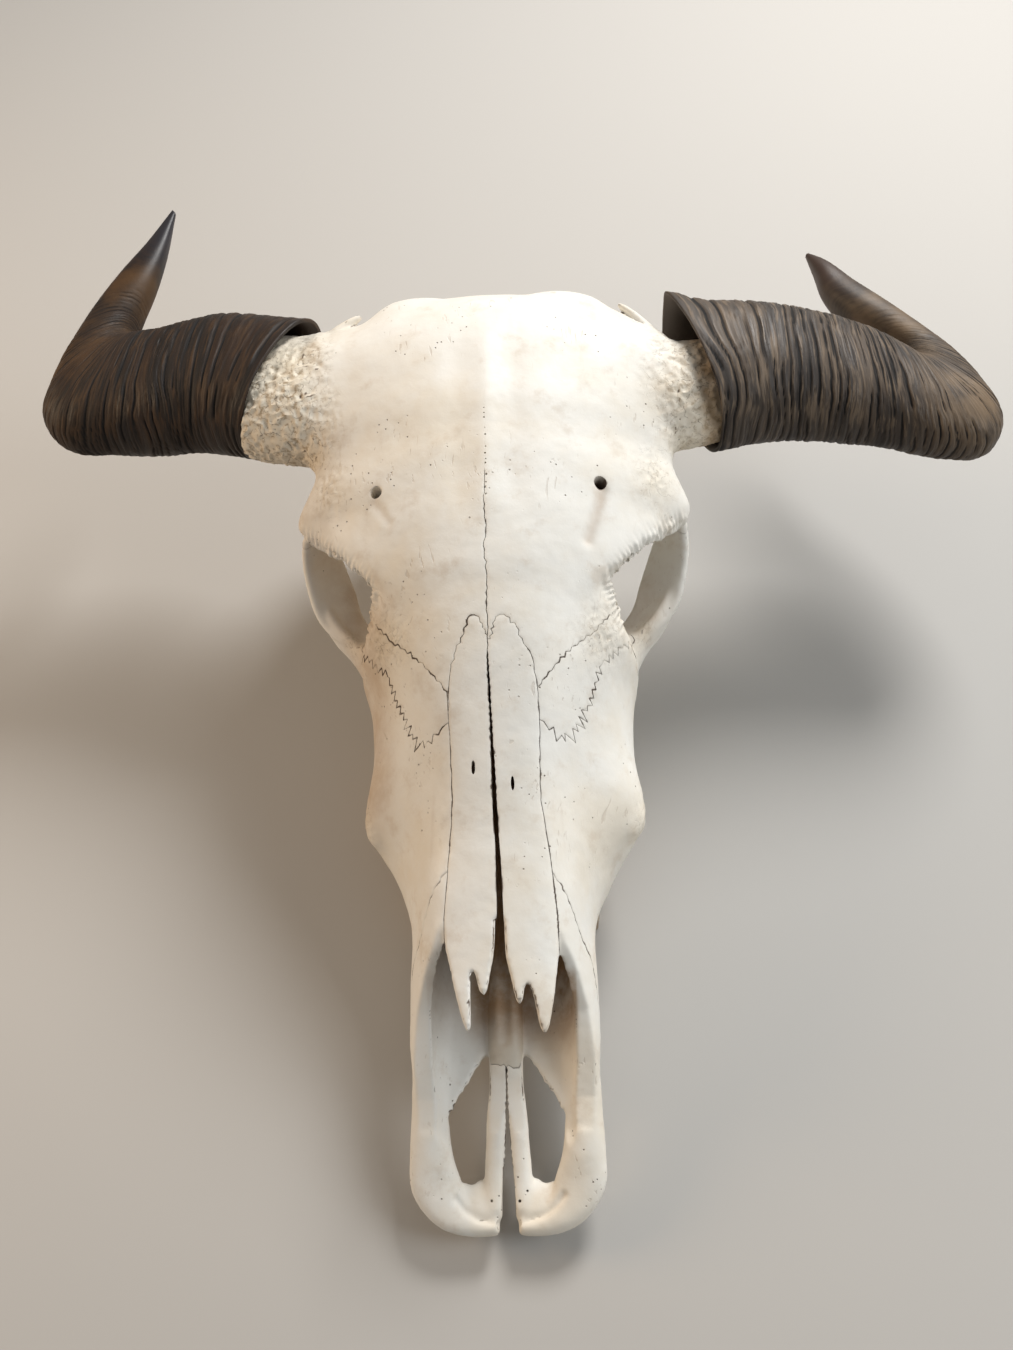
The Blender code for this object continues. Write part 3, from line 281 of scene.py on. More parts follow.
ZYGOMATIC_FLOOR = 0.05
HORN_CORE_FLOOR = 0.1
HORN_CORE_FRONT = 0.4
HORN_CORE_ROOT = 0.1133
MAXILLA_REAR = 0.3127

# Toothed sides of the outlines: side number, reach of the teeth and distance between them, in millimetres
PALATE_TEETH = {0: (0.9, 5), 1: (1.1, 4.2), 2: (0.7, 5)}
NASAL_SLIT_TEETH = {6: (0.2, 5), 7: (0.3, 4), 8: (0.3, 3.4), 9: (0.3, 3), 10: (0.3, 3), 11: (0.3, 3),
                    13: (0.3, 3), 14: (0.3, 3), 15: (0.3, 3.4), 16: (0.3, 4)}
MIDLINE_TEETH = {0: (0.4, 3), 1: (0.3, 3), 2: (0.3, 3), 3: (0.3, 3.6), 9: (0.3, 3.6), 10: (0.3, 3),
                 11: (0.3, 3), 12: (0.4, 3)}
NASAL_TEETH = {1: (1, 3), 2: (1.2, 3), 3: (1, 2.8), 4: (1, 3.2), 5: (0.8, 3.4), 6: (0.7, 4), 7: (0.5, 5),
               8: (0.3, 6), 9: (0.3, 7), 10: (0.3, 9), 11: (0.3, 9), 12: (0.3, 9)}
LACRIMAL_TEETH = {1: (2, 4), 2: (3.4, 4.2), 3: (3.6, 4.4), 4: (2.6, 4.4), 5: (1.6, 4.4), 6: (1.4, 4),
                  7: (1.2, 4.6), 10: (0.6, 5), 11: (0.8, 5), 12: (0.8, 4.6), 13: (0.6, 4.6)}
ZYGOMATIC_TEETH = {0: (1, 5), 1: (1.2, 6), 2: (1, 6), 3: (1.4, 7)}
PREMAXILLA_TEETH = {0: (0.5, 5), 1: (0.5, 5), 2: (0.6, 6), 3: (0.6, 6), 4: (0.6, 6), 5: (1, 5)}
OCCIPITAL_TEETH = {0: (1.1, 6), 1: (1.1, 6)}
SPHENOID_TEETH = {0: (1, 6), 2: (0.9, 6), 6: (0.9, 6)}

# Cheek teeth of one side, from the front: length along the row and width across it
CheekTooth = namedtuple("CheekTooth", "length width")
CHEEK_TEETH = [CheekTooth(*row) for row in metres([
    (15, 14), (17.5, 17.5), (18, 19), (23.5, 21.5), (27, 23), (28.5, 21.5),
])]
FIRST_TWO_LOBED = 3
TOOTH_ROW_START = 0.1720
TOOTH_ROW_BEND = (0.0460, 0.0530, 0.0500)
TOOTH_ROOT_TOP = 0.040
TOOTH_GAP = 0.0003
CROWN_SIDES = 48
CROWN_FULLNESS = 0.7
CROWN_EDGE = math.radians(40)
ENAMEL = 0.0011
# Rings of a tooth from its root to its worn dish: share of its full size, height, and how far inside the edge
TOOTH_RINGS = [
    (0.94, TOOTH_ROOT_TOP, 0.0), (1.00, 0.5 * TOOTH_ROOT_TOP, 0.0), (0.98, 0.0012, 0.0), (0.96, 0.0004, 0.0),
    (0.96, 0.0, 0.0003), (0.96, 0.0, ENAMEL), (0.96, 0.0007, ENAMEL + 0.0005),
]

# Horn sheaths from the rim: front or outer edge (x, y), rear or inner edge (x, y), middle height, thickness
RIGHT_HORN = metres([
    (-148, 427, -106, 511, 158, 74), (-178, 436, -166, 526, 154, 70), (-210, 437.5, -201, 522.5, 151, 64),
    (-241, 438.5, -221, 522.5, 150, 58), (-263.5, 441.5, -226.5, 523.5, 149, 53),
    (-277.5, 457, -228.5, 524.5, 149, 48), (-277, 479, -230, 526, 150, 42),
    (-273.5, 497, -230, 528.5, 152, 37), (-266.5, 518, -228, 534, 155, 33), (-256, 542, -224, 543, 159, 29),
    (-242.5, 566.5, -217.5, 559, 164, 23), (-226, 593, -212, 585, 169, 14),
    (-211, 620, -208.5, 617, 175, 3),
])
LEFT_HORN = metres([
    (136, 414, 107, 508, 161, 78), (166, 425, 163, 513, 154, 70), (205, 427, 203, 511, 147, 63),
    (243, 423, 233, 504, 141, 57), (272, 417, 251, 495, 136, 52), (297, 420, 257, 492, 132, 48),
    (308.5, 437, 259, 493, 130, 44), (304, 462, 258.5, 497, 129, 40), (293.5, 489, 255.5, 505, 128, 36),
    (278, 513, 245, 518, 128, 33), (258, 540, 227, 539, 128, 30), (239, 564, 216.5, 558, 129, 22),
    (220, 589, 212.5, 580, 130, 12), (211.5, 597.5, 209.5, 596, 130, 3),
])
HORN_FULLNESS = 0.85
SHEATH_SIDES = 144
SHEATH_STEP = 0.0008
DRUM_RADIUS = 0.030
RIDGE_HEIGHT = 0.0014
# Cracks between the growth rings and the finer ones: distance, and width as a share of it
CRACK_PITCH = 0.0052
CRACK_WIDTH = 0.095
FINE_PITCH = 0.0023
FINE_WIDTH = 0.17
# Share of the horn's length over which the rings fade out
RINGS_FADE = (0.56, 0.76)
CORE_SIDES = 48
# The socket: its depth, its wall, and the share of the horn's section that it has from its bottom to its rim
SOCKET_DEPTH = 0.062
SOCKET_WALL = 0.0045
SOCKET_STEPS = (1.0, 0.7, 0.35, 0.0)
SOCKET_SHARES = (0.60, 0.85, 1.0, 1.0)
FINE_SOCKET_STEPS = (1.0, 0.85, 0.7, 0.35, 0.12, 0.0)
FINE_SOCKET_WALLS = (1.0, 1.0, 1.0, 1.0, 0.85, 0.45)
SOCKET_GAP = 0.0005
COLLAR = 0.012
COLLAR_LENGTH = 0.090
# The upper corner of the left sheath's rim stands out
RIM_CORNER = (0.1110, 0.4950, 0.1890)
RIM_CORNER_REACH = 0.014
RIM_CORNER_RISE = (-0.0030, 0.0040, 0.0040)

# Small openings: centre of the mouth, direction inwards, radius and depth; each tapers to its end
Hole = namedtuple("Hole", "mouth inwards radius depth")
PAIRED_HOLES = [
    Hole((0.0637, 0.3665, 0.184), (-0.1, 0.25, -1.0), 0.0040, 0.024),
    Hole((0.066, 0.380, 0.189), (0.0, 0.2, -1.0), 0.0009, 0.008),
    Hole((0.023, 0.245, 0.036), (0.0, 0.5, 1.0), 0.0032, 0.012),
    Hole((0.024, 0.405, 0.048), (-0.1, -0.2, 1.0), 0.0036, 0.012),
    Hole((0.034, 0.490, 0.048), (-0.5, 0.3, 1.0), 0.0034, 0.012),
    Hole((0.070, 0.470, 0.083), (-1.0, 0.0, 0.1), 0.0048, 0.016),
    Hole((0.066, 0.307, 0.118), (-0.6, -1.0, -0.2), 0.0018, 0.008),
]
SINGLE_HOLES = [
    Hole((-0.0088, 0.0180, 0.023), (0.0, 0.2, -1.0), 0.0007, 0.006),
    Hole((0.0059, 0.0177, 0.023), (0.0, 0.2, -1.0), 0.0008, 0.006),
    Hole((0.0100, 0.0225, 0.024), (0.0, 0.2, -1.0), 0.0006, 0.006),
    Hole((0.070, 0.383, 0.189), (0.0, 0.2, -1.0), 0.0010, 0.008),
    Hole((-0.060, 0.402, 0.199), (0.0, 0.1, -1.0), 0.0006, 0.006),
    Hole((-0.023, 0.405, 0.206), (0.0, 0.1, -1.0), 0.0005, 0.005),
    Hole((-0.033, 0.383, 0.203), (0.0, 0.1, -1.0), 0.0006, 0.005),
]
# Pores along the closed seam of the forehead: limits of the row, of their sway, their radii and their gaps
PORES_START = 0.352
PORES_END = 0.440
PORE_SWAY = (-0.0007, 0.0003)
PORE_RADII = (0.00025, 0.00055)
PORE_GAPS = (0.0024, 0.0080)
PORE_HEIGHT = 0.196
PORE_DEPTH = 0.040
# Notches in the edge of each orbit: limits of their width, depth and distance, and how far inside they sit
NOTCH_WIDTHS = (0.0005, 0.0010)
NOTCH_DEPTHS = (0.0022, 0.0048)
NOTCH_GAPS = (0.0022, 0.0042)
NOTCH_HEIGHT = 0.0040
NOTCH_SWAY = 0.0006
NOTCH_START = 0.001
NOTCH_INSET = 0.08

# Furrows from the openings in the forehead, seen from above: run, half width and depth
FURROWS = [
    (metres([(64, 364), (62, 356), (58.5, 345), (55, 335)]), 0.0032, 0.0015),
    (metres([(-64, 363), (-60, 356), (-55.5, 349)]), 0.0026, 0.0006),
]
DEEPEST_FURROW = 0.0015
# Troughs behind the lip of the muzzle
LIP_TROUGHS = metres([
    [(-27, 19, 22.5), (-22.8, 14.2, 21.2), (-16, 9.8, 19.9), (-4.8, 7.6, 16.5)],
    [(29, 20, 23.5), (24.9, 15.7, 22.3), (19, 11.5, 20.1), (5.7, 7.4, 17.1)],
])
LIP_TROUGH_REACH = 0.0020
LIP_TROUGH_DEPTH = 0.0014

# Relief: low waves (height, width, seed), the crest of the forehead, the coral at the foot of each horn, and
# the rough edge of the orbit. The coral's first two pairs say how far out it starts and is full, on the left
# and on the right; the others are its limits along the skull and upwards.
WAVES = ((0.00022, 0.013, 1), (0.00010, 0.0045, 2))
CREST_HEIGHT = 0.0009
CREST_RUN = (0.330, 0.360, 0.440, 0.475)
CREST_RISE = (0.16, 0.17)
CORAL_HEIGHT = 0.0010
CORAL_START = (0.086, 0.078)
CORAL_FULL = (0.122, 0.116)
CORAL_RUN = (0.392, 0.408)
CORAL_FADE = (0.455, 0.485)
CORAL_RISE = (0.120, 0.135)
ORBIT_EDGE = metres([
    (72, 307, 125), (69, 313, 141), (67, 322, 151), (81, 339, 151), (96, 354.5, 147), (110, 368, 141),
])
EDGE_REACH = 0.0060
EDGE_PITCH = 0.0034
EDGE_HEIGHT = 0.0015
# Pitted places of both sides: round the orbit, on the cheek's swelling and round the tooth sockets
PITTED = metres([
    (62, 292, 140, 14, 16, 20), (86, 318, 98, 8, 10, 8), (78, 216, 65, 6, 14, 10), (60, 240, 32, 14, 60, 6),
    (96, 380, 170, 12, 16, 14),
])
PIT_HEIGHT = 0.0006
GRAIN_TURN = np.array(Euler((0.7, 0.5, 0.9)).to_matrix())

# What differs between the sides: the bone in front of the right horn stands back, the rear of the forehead
# drops in steps towards the horns (side, start, full and how far), and the right cheek is narrower
NECK_PLACE = (-0.110, 0.392)
NECK_REACH = (0.016, 0.018)
NECK_SHIFT = (0.0035, 0.0030)
NECK_RISE = (0.110, 0.130)
REAR_RUN = (0.450, 0.490)
REAR_RISE = (0.110, 0.150)
REAR_DROPS = ((-1, 0.055, 0.080, 0.0065), (-1, 0.094, 0.114, -0.0130), (1, 0.064, 0.088, 0.0080),
              (1, 0.080, 0.096, 0.0055))
NARROW_CHEEK = 0.045
NARROW_CHEEK_RUN = (0.150, 0.200, 0.270, 0.330)

# Seams between bones, and where the bone is tan from staining and from painted shade: limits along the skull
# and across it, and how strongly
SEAM_REACH = 0.0012
SEAM_WIDTH = 0.00042
SEAM_DEPTH = 0.00020
SHARP_EDGE = math.radians(32)
NOSE_PLACES = (0.080, 0.110, 0.160, 0.200, 0.250, 0.300)
NOSE_HALVES = (0.0385, 0.0395, 0.0365, 0.0345, 0.0285, 0.0205)
CLOSED_NOSE_HEIGHT = 0.066
# The inside of the nose is painted tan: partly staining, partly painted shade in the cavity
NOSE_TAN_AND_SHADE_RUN = (0.082, 0.120, 0.300, 0.340)
# The right cheek and brow are painted darker and warmer: partly the bone's own warm tone, partly painted
# shade on the side turned from the main light
CHEEK_SHADE_AND_TAN = 0.52
CHEEK_SHADE_AND_TAN_RUN = (0.190, 0.230, 0.300, 0.330)
CHEEK_SHADE_AND_TAN_SIDE = (0.050, 0.070)
BROW_SHADE_AND_TAN = 0.22
BROW_SHADE_AND_TAN_RUN = (0.340, 0.365, 0.405, 0.430)
BROW_SHADE_AND_TAN_SIDE = (0.070, 0.100)
JOINT_STAIN_SIDE = (0.117, 0.126)
JOINT_STAIN_RUN = (0.400, 0.410)
JOINT_STAIN_SLANT = 0.12
JOINT_STAIN_MIDDLE = 0.450
# The forehead's furrows are painted darker by their depth: painted shade
FURROW_SHADE = 0.35
# Tan inside the orbit, partly staining and partly painted shade in its hollow: middle and reach along x, y
# and z
ORBIT_TAN_AND_SHADE = 0.9
ORBIT_TAN_AND_SHADE_PLACE = ((0.076, 0.020), (0.340, 0.024), (0.108, 0.020))

# Colours of dry bone (pale, warm and dark) and of horn (deep, body, ridge, bend and tip)
PLAIN_BONE = ((0.86, 0.84, 0.785), (0.81, 0.745, 0.635), (0.52, 0.39, 0.26))
NOSE_BONE = ((0.74, 0.70, 0.62), (0.60, 0.54, 0.44), (0.16, 0.13, 0.10))
# Brown of stains and of painted shade in the nose, the orbits, the furrows and on the right cheek and brow
STAINED_AND_SHADED_BONE = (0.36, 0.22, 0.115)
PORE_BROWN = (0.10, 0.065, 0.035)
SCRATCH_BROWN = (0.30, 0.20, 0.11)
CORAL_TAN = (0.64, 0.53, 0.36)
HOLLOW_BROWN = (0.27, 0.18, 0.085)
SCRIBBLE_BROWN = (0.10, 0.06, 0.03)
SEAM_BROWN = (0.085, 0.045, 0.022)
GREY_HORN = ((0.026, 0.018, 0.013), (0.075, 0.052, 0.034), (0.17, 0.122, 0.080), (0.20, 0.135, 0.078),
             (0.050, 0.030, 0.022))
# The dark horn's tip colour is tinted blue: a painted cool sheen on its dark tip
DARK_HORN = ((0.008, 0.004, 0.002), (0.025, 0.011, 0.004), (0.056, 0.027, 0.009), (0.090, 0.043, 0.012),
             (0.014, 0.016, 0.024))
# Black in the horn's cracks and between its fine threads: its own dark lines, partly painted shade in the
# grooves
CRACK_BLACK = (0.004, 0.003, 0.003)
THREAD_BLACK = (0.008, 0.006, 0.005)
PALE_ENAMEL = (0.62, 0.52, 0.38)
STAINED_ENAMEL = (0.22, 0.14, 0.08)
DENTINE = (0.35, 0.25, 0.15)
FLOOR_COLOUR = (0.50, 0.485, 0.46, 1.0)
ROOM_COLOUR = (1.0, 0.985, 0.96, 1.0)
ROOM_STRENGTH = 0.25

# Camera over the skull: place, then pitch down, yaw and roll in degrees, and the lens in the photo's pixels
CAMERA_PLACE = (0.0437, -0.1246, 0.7702)
CAMERA_TURN = (58.0, 5.25, -6.58)
FOCAL_PIXELS = 1365.0
PHOTO_HEIGHT = 1350.0
SENSOR_HEIGHT = 36.0

# Lights: name, place, size, power and colour; all point at the middle of the skull
LIGHTS = [
    ("window", (0.60, 1.10, 1.15), 0.6, 25.0, (1.0, 0.985, 0.965)),
    ("side_lamp", (1.3, -0.3, 1.0), 0.8, 9.0, (0.93, 0.97, 1.0)),
    ("warm_lamp", (-1.2, 0.1, 0.6), 0.6, 7.0, (1.0, 0.72, 0.46)),
]
LIT_PLACE = (0.0, 0.0, 0.1)


def active(thing):
    """Make one object the only one that operators work on."""
    bpy.ops.object.select_all(action="DESELECT")
    thing.select_set(True)
    bpy.context.view_layer.objects.active = thing


def new_object(name, mesh):
    thing = bpy.data.objects.new(name, mesh)
    bpy.context.scene.collection.objects.link(thing)
    return thing


def remove_object(thing):
    mesh = thing.data
    bpy.data.objects.remove(thing, do_unlink=True)
    bpy.data.meshes.remove(mesh)


def mesh_object(name, vertices, faces):
    mesh = bpy.data.meshes.new(name)
    mesh.from_pydata([tuple(v) for v in vertices], [], faces)
    solid = bmesh.new()
    solid.from_mesh(mesh)
    bmesh.ops.recalc_face_normals(solid, faces=solid.faces)
    bmesh.ops.triangulate(solid, faces=[face for face in solid.faces if len(face.verts) > 4])
    solid.to_mesh(mesh)
    solid.free()
    return new_object(name, mesh)


def smooth_values(places, values, wanted):
    """Read a smooth curve through the values at other places, without overshoot at its ends."""
    places = np.asarray(places, float)
    values = np.asarray(values, float)
    slopes = np.gradient(values, places, axis=0)
    spans = np.clip(np.searchsorted(places, wanted, side="right") - 1, 0, len(places) - 2)
    lengths = places[spans + 1] - places[spans]
    t = ((wanted - places[spans]) / lengths)[:, None]
    before, after = values[spans], values[spans + 1]
    leave, arrive = slopes[spans] * lengths[:, None], slopes[spans + 1] * lengths[:, None]
    return ((2 * t**3 - 3 * t**2 + 1) * before + (t**3 - 2 * t**2 + t) * leave
            + (3 * t**2 - 2 * t**3) * after + (t**3 - t**2) * arrive)


def closed_curve(points, per_span):
    """A smooth closed curve through the points."""
    points = np.asarray(points, float)
    curve = []
    for i in range(len(points)):
        before, start, end, after = (points[(i + k - 1) % len(points)] for k in range(4))
        for step in range(per_span):
            t = step / per_span
            curve.append(0.5 * (2 * start + (end - before) * t
                                + (2 * before - 5 * start + 4 * end - after) * t**2
                                + (3 * start - before - 3 * end + after) * t**3))
    return np.array(curve)


def lengths_along(points):
    """How far along a line each of its points lies."""
    return np.concatenate([[0.0], np.cumsum([math.dist(a, b) for a, b in zip(points, points[1:])])])


def oval(sides, fullness=1.0):
    """Places round an oval, each as how far across and up it is; a fullness under 1 makes it squarer."""
    places = []
    for k in range(sides):
        angle = 2 * math.pi * k / sides
        parts = (math.cos(angle), math.sin(angle))
        places.append([math.copysign(abs(part) ** fullness, part) for part in parts])
    return places


def loft(name, rings, closed=False):
    """A closed solid through rings that have the same number of points."""
    sides = len(rings[0])
    vertices = [point for ring in rings for point in ring]
    faces = []
    for r in range(len(rings) if closed else len(rings) - 1):
        start, end = r * sides, ((r + 1) % len(rings)) * sides
        for s in range(sides):
            n = (s + 1) % sides
            faces.append((start + s, start + n, end + n, end + s))
    if not closed:
        faces.append(tuple(range(sides)))
        faces.append(tuple(range(len(vertices) - sides, len(vertices))))
    return mesh_object(name, vertices, faces)


def mirrored_ring(y, half):
    """A closed ring in the plane at y from the points of its left half, top to bottom."""
    right = [(-x, z) for x, z in reversed(half) if x > 1e-6]
    return [(x, y, z) for x, z in list(half) + right]


def face_half(s):
    return [(0.0, s.roof), (s.nasal_half, s.nasal_z), (s.flank_half, s.flank_z), (s.cheek_half, s.cheek_z),
            (s.gum_half, s.gum_z), (s.gum_inner, s.gum_z), (s.palate_half, s.palate_z), (0.0, s.palate_z)]


def cavity_half(s):
    return [(0.0, s.top), (s.top_half, s.top - 0.003), (s.middle_half, s.middle_z), (s.floor_half, s.floor_z),
            (0.0, s.floor_z)]


def cranium_half(s):
    fall = s.roof - s.brow_z
    top = [(s.brow_half * share, s.roof - fall * share**2) for share in (0.0, 0.25, 0.5, 0.75, 1.0)]
    under = s.brow_z - s.eave
    inner = min(s.wall_half + 0.006, s.brow_half - 0.002)
    waist = (0.5 * (s.wall_half + s.base_half), 0.5 * (s.wall_z + s.base_z))
    return top + [(s.brow_half - 0.004, under), (inner, under - 0.003), (s.wall_half, s.wall_z), waist,
                  (s.base_half, s.base_z + 0.008), (0.0, s.base_z)]


def section_loft(name, table, half_of, per_span):
    """A solid through sections that are read at an even spacing along the skull."""
    places = [s.y for s in table]
    wanted = np.linspace(places[0], places[-1], int((places[-1] - places[0]) / SECTION_SPACING) + 2)
    rings = []
    for row in smooth_values(places, table, wanted):
        section = type(table[0])(*row)
        rings.append(closed_curve(mirrored_ring(section.y, half_of(section)), per_span))
    return loft(name, rings)


def sweep(name, stations, up=(0.0, 0.0, 1.0), spacing=0.004, sides=20):
    """A bar of oval section along rows of x, y, z, width and height, the height lying towards up."""
    places = lengths_along([row[:3] for row in stations])
    rows = smooth_values(places, stations, np.linspace(0.0, places[-1], int(places[-1] / spacing) + 2))
    rings = []
    for centre, run, size in zip(rows[:, :3], np.gradient(rows[:, :3], axis=0), rows[:, 3:]):
        along = Vector(run).normalized()
        side = along.cross(Vector(up)).normalized()
        high = side.cross(along).normalized()
        rings.append([Vector(centre) + side * (0.5 * size[0] * across) + high * (0.5 * size[1] * rise)
                      for across, rise in oval(sides)])
    return loft(name, rings)


def ball(name, place, turn, radii, subdivisions):
    bpy.ops.mesh.primitive_ico_sphere_add(subdivisions=subdivisions, radius=1.0)
    thing = bpy.context.active_object
    thing.name = name
    stretch = Matrix.Diagonal((*radii, 1.0))
    thing.data.transform(Matrix.Translation(place) @ turn.to_matrix().to_4x4() @ stretch)
    return thing


def swelling(name, size, turn=LEVEL):
    """A smooth egg shape from its row of x, y, z and three radii in millimetres."""
    size = metres(size)
    return ball(name, size[:3], Euler(turn), size[3:], 4)


def strip(name, edges, thickness, per_span=6, sides=20):
    """A closed band of even thickness between two edges, with rounded lips."""
    rows = closed_curve(edges, per_span)
    middles = 0.5 * (rows[:, :3] + rows[:, 3:])
    runs = np.roll(middles, -1, axis=0) - np.roll(middles, 1, axis=0)
    rings = []
    for row, middle, run in zip(rows, middles, runs):
        across = Vector(row[:3] - row[3:])
        half = 0.5 * across.length
        across.normalize()
        face = Vector(run).cross(across).normalized()
        rings.append([Vector(middle) + across * (out * half) + face * (up * 0.5 * thickness)
                      for out, up in oval(sides, LIP_FULLNESS)])
    return loft(name, rings, closed=True)


def grown_outline(outline, amount):
    """The outline with each side moved outwards by the amount."""
    points = [Vector(p) for p in outline]
    area = sum(a.x * b.y - b.x * a.y for a, b in zip(points, points[1:] + points[:1]))
    outward = 1.0 if area > 0 else -1.0
    grown = []
    for i, point in enumerate(points):
        before = (point - points[i - 1]).normalized()
        after = (points[(i + 1) % len(points)] - point).normalized()
        out_before = Vector((before.y, -before.x)) * outward
        out_after = Vector((after.y, -after.x)) * outward
        bisector = out_before + out_after
        grown.append(point + bisector * (amount * 2.0 / max(bisector.length_squared, 0.8)))
    return grown


def prism(name, outline, low, high, axis="z", grow=0.0, rise=0.0):
    """An outline drawn square to an axis and stretched along it; its low end may rise with y."""
    outline = grown_outline(outline, grow) if grow else [Vector(p) for p in outline]
    places = {"x": lambda p, d: (d, p.x, p.y), "z": lambda p, d: (p.x, p.y, d)}
    bottom = [places[axis](p, low - grow + rise * p.y) for p in outline]
    top = [places[axis](p, high + grow) for p in outline]
    return loft(name, [bottom, top])


def mirror_mesh(thing):
    """A copy of an object on the other side of the midline."""
    mesh = thing.data.copy()
    mesh.transform(Matrix.Scale(-1.0, 4, (1.0, 0.0, 0.0)))
    mesh.flip_normals()
    return new_object(thing.name, mesh)


def both_sides(things):
    return things + [mirror_mesh(thing) for thing in things]


def change(thing, kind, **settings):
    """Apply one modifier to an object."""
    active(thing)
    modifier = thing.modifiers.new(kind, kind)
    for name, value in settings.items():
        setattr(modifier, name, value)
    modifier.show_viewport = False
    bpy.ops.object.modifier_apply(modifier=modifier.name)


def cut(thing, cutter, operation="DIFFERENCE", solver="MANIFOLD"):
    """Cut an object by another, which is used up."""
    change(thing, "BOOLEAN", operation=operation, solver=solver, object=cutter)
    remove_object(cutter)


def run_together(thing, voxel, rounds):
    """Give an object one skin, and soften it."""
    change(thing, "REMESH", mode="VOXEL", voxel_size=voxel)
    change(thing, "SMOOTH", iterations=rounds, factor=0.5)


def fuse(name, things):
    """One object that holds the meshes of several."""
    joined = bmesh.new()
    for thing in things:
        joined.from_mesh(thing.data)
    mesh = bpy.data.meshes.new(name)
    joined.to_mesh(mesh)
    joined.free()
    for thing in things:
        remove_object(thing)
    return new_object(name, mesh)


def read(items, field, width=1, kind=np.int32):
    """One field of every item of a mesh, a row each where it has more than one value."""
    values = np.empty(len(items) * width, kind)
    items.foreach_get(field, values)
    return values.reshape(-1, width) if width > 1 else values


def places_of(thing):
    return read(thing.data.vertices, "co", 3, float)


def normals_of(thing):
    return read(thing.data.vertex_normals, "vector", 3, np.float32).astype(float)


def put_places(thing, spots):
    thing.data.vertices.foreach_set("co", spots.ravel())
    thing.data.update()


def write_mask(thing, name, values):
    mask = thing.data.attributes.new(name, "FLOAT", "POINT")
    mask.data.foreach_set("value", np.asarray(values, np.float32))


def largest_shell(thing):
    """Drop every loose piece but the one with the most vertices."""
    mesh = thing.data
    start, end = read(mesh.edges, "vertices", 2).T
    shell = np.arange(len(mesh.vertices))
    while True:
        lowest = np.minimum(shell[start], shell[end])
        joined = shell.copy()
        np.minimum.at(joined, start, lowest)
        np.minimum.at(joined, end, lowest)
        joined = joined[joined]
        if (joined == shell).all():
            break
        shell = joined
    names, sizes = np.unique(shell, return_counts=True)
    loose = np.flatnonzero(shell != names[sizes.argmax()])
    if len(loose):
        solid = bmesh.new()
        solid.from_mesh(mesh)
        solid.verts.ensure_lookup_table()
        bmesh.ops.delete(solid, geom=[solid.verts[number] for number in loose], context="VERTS")
        solid.to_mesh(mesh)
        solid.free()


def ease(value, start, end):
    """From 0 at start to 1 at end, without a corner."""
    t = np.clip((value - start) / (end - start), 0.0, 1.0)
    return t * t * (3 - 2 * t)


def within(value, start, full, fade, end):
    """0 up to start, 1 from full to fade, and 0 again past the end."""
    return ease(value, start, full) * (1 - ease(value, fade, end))


def ragged(outline, edges, seed):
    """Draw some sides of an outline in uneven teeth: side number, how far they reach and their pitch."""
    chance = np.random.default_rng(seed)
    points = []
    for i, start in enumerate(outline):
        start, end = Vector(start), Vector(outline[(i + 1) % len(outline)])
        points.append(start)
        reach, pitch = metres(edges.get(i, (0, 1000)))
        run = end - start
        across = Vector((-run.y, run.x)).normalized()
        teeth = int(run.length / pitch)
        for k in range(1, 2 * teeth):
            share = (k + chance.uniform(-0.25, 0.25)) / (2 * teeth)
            height = reach * chance.uniform(0.35, 1.0) * (1 if k % 2 else -1)
            points.append(start + run * share + across * height)
    return [tuple(p) for p in points]


def grain(points, size, seed):
    """Soft random bumps from -1 to 1, about as wide as size."""
    cells = points @ GRAIN_TURN / size + seed * 17.31
    corner = np.floor(cells).astype(np.int64)
    part = cells - corner
    part = part * part * (3 - 2 * part)
    total = np.zeros(len(points))
    for number in range(8):
        step = np.array([number & 1, number >> 1 & 1, number >> 2 & 1])
        weight = np.where(step == 1, part, 1 - part).prod(axis=1)
        spot = corner + step
        code = (spot[:, 0] * 73856093) ^ (spot[:, 1] * 19349663) ^ (spot[:, 2] * 83492791)
        code = ((code ^ (code >> 13)) * 1274126177) & 0xFFFFFFFF
        code = (code ^ (code >> 15)) * 2246822519 & 0xFFFFFFFF
        total += weight * ((code >> 9 & 0xFFFF) / 32767.5 - 1.0)
    return total


def nasal_region(side, outline):
    """The space over the sloping floor line that a nasal bone takes up, seen from above as the outline."""
    region = prism("nasal_region", outline, NASAL_LOW, ROOF, rise=NASAL_FLOOR_SLOPE)
    if side == "left":
        return region
    twin = mirror_mesh(region)
    remove_object(region)
    return twin


def muzzle_cutter():
    """What is open above the muzzle, leaving out the nasal bones that reach over it."""
    opening = prism("opening", OPEN_MUZZLE, -0.1, 0.1, axis="x")
    for side in ("left", "right"):
        cut(opening, nasal_region(side, [NASAL_SLIT_SIDE[side]] + NASAL_EDGE[side]), solver="EXACT")
    return opening


def body_of_skull():
    """The thick parts, run into each other with soft hollows between them."""
    side = [sweep("paracondylar", PARACONDYLAR_PROCESS, up=(0.0, 1.0, 0.0)), sweep("horn_core", HORN_CORE)]
    side += [swelling(name, size, SWELLING_TURNS.get(name, LEVEL)) for name, size in BODY_SWELLINGS.items()]
    middle = [
        section_loft("face", FACE_SECTIONS, face_half, 5),
        section_loft("cranium", CRANIUM_SECTIONS, cranium_half, 4),
        swelling("nape_knob", NAPE_KNOB),
    ]
    body = fuse("body", both_sides(side) + middle)
    run_together(body, BLEND_VOXEL, BLEND_ROUNDS)
    return body


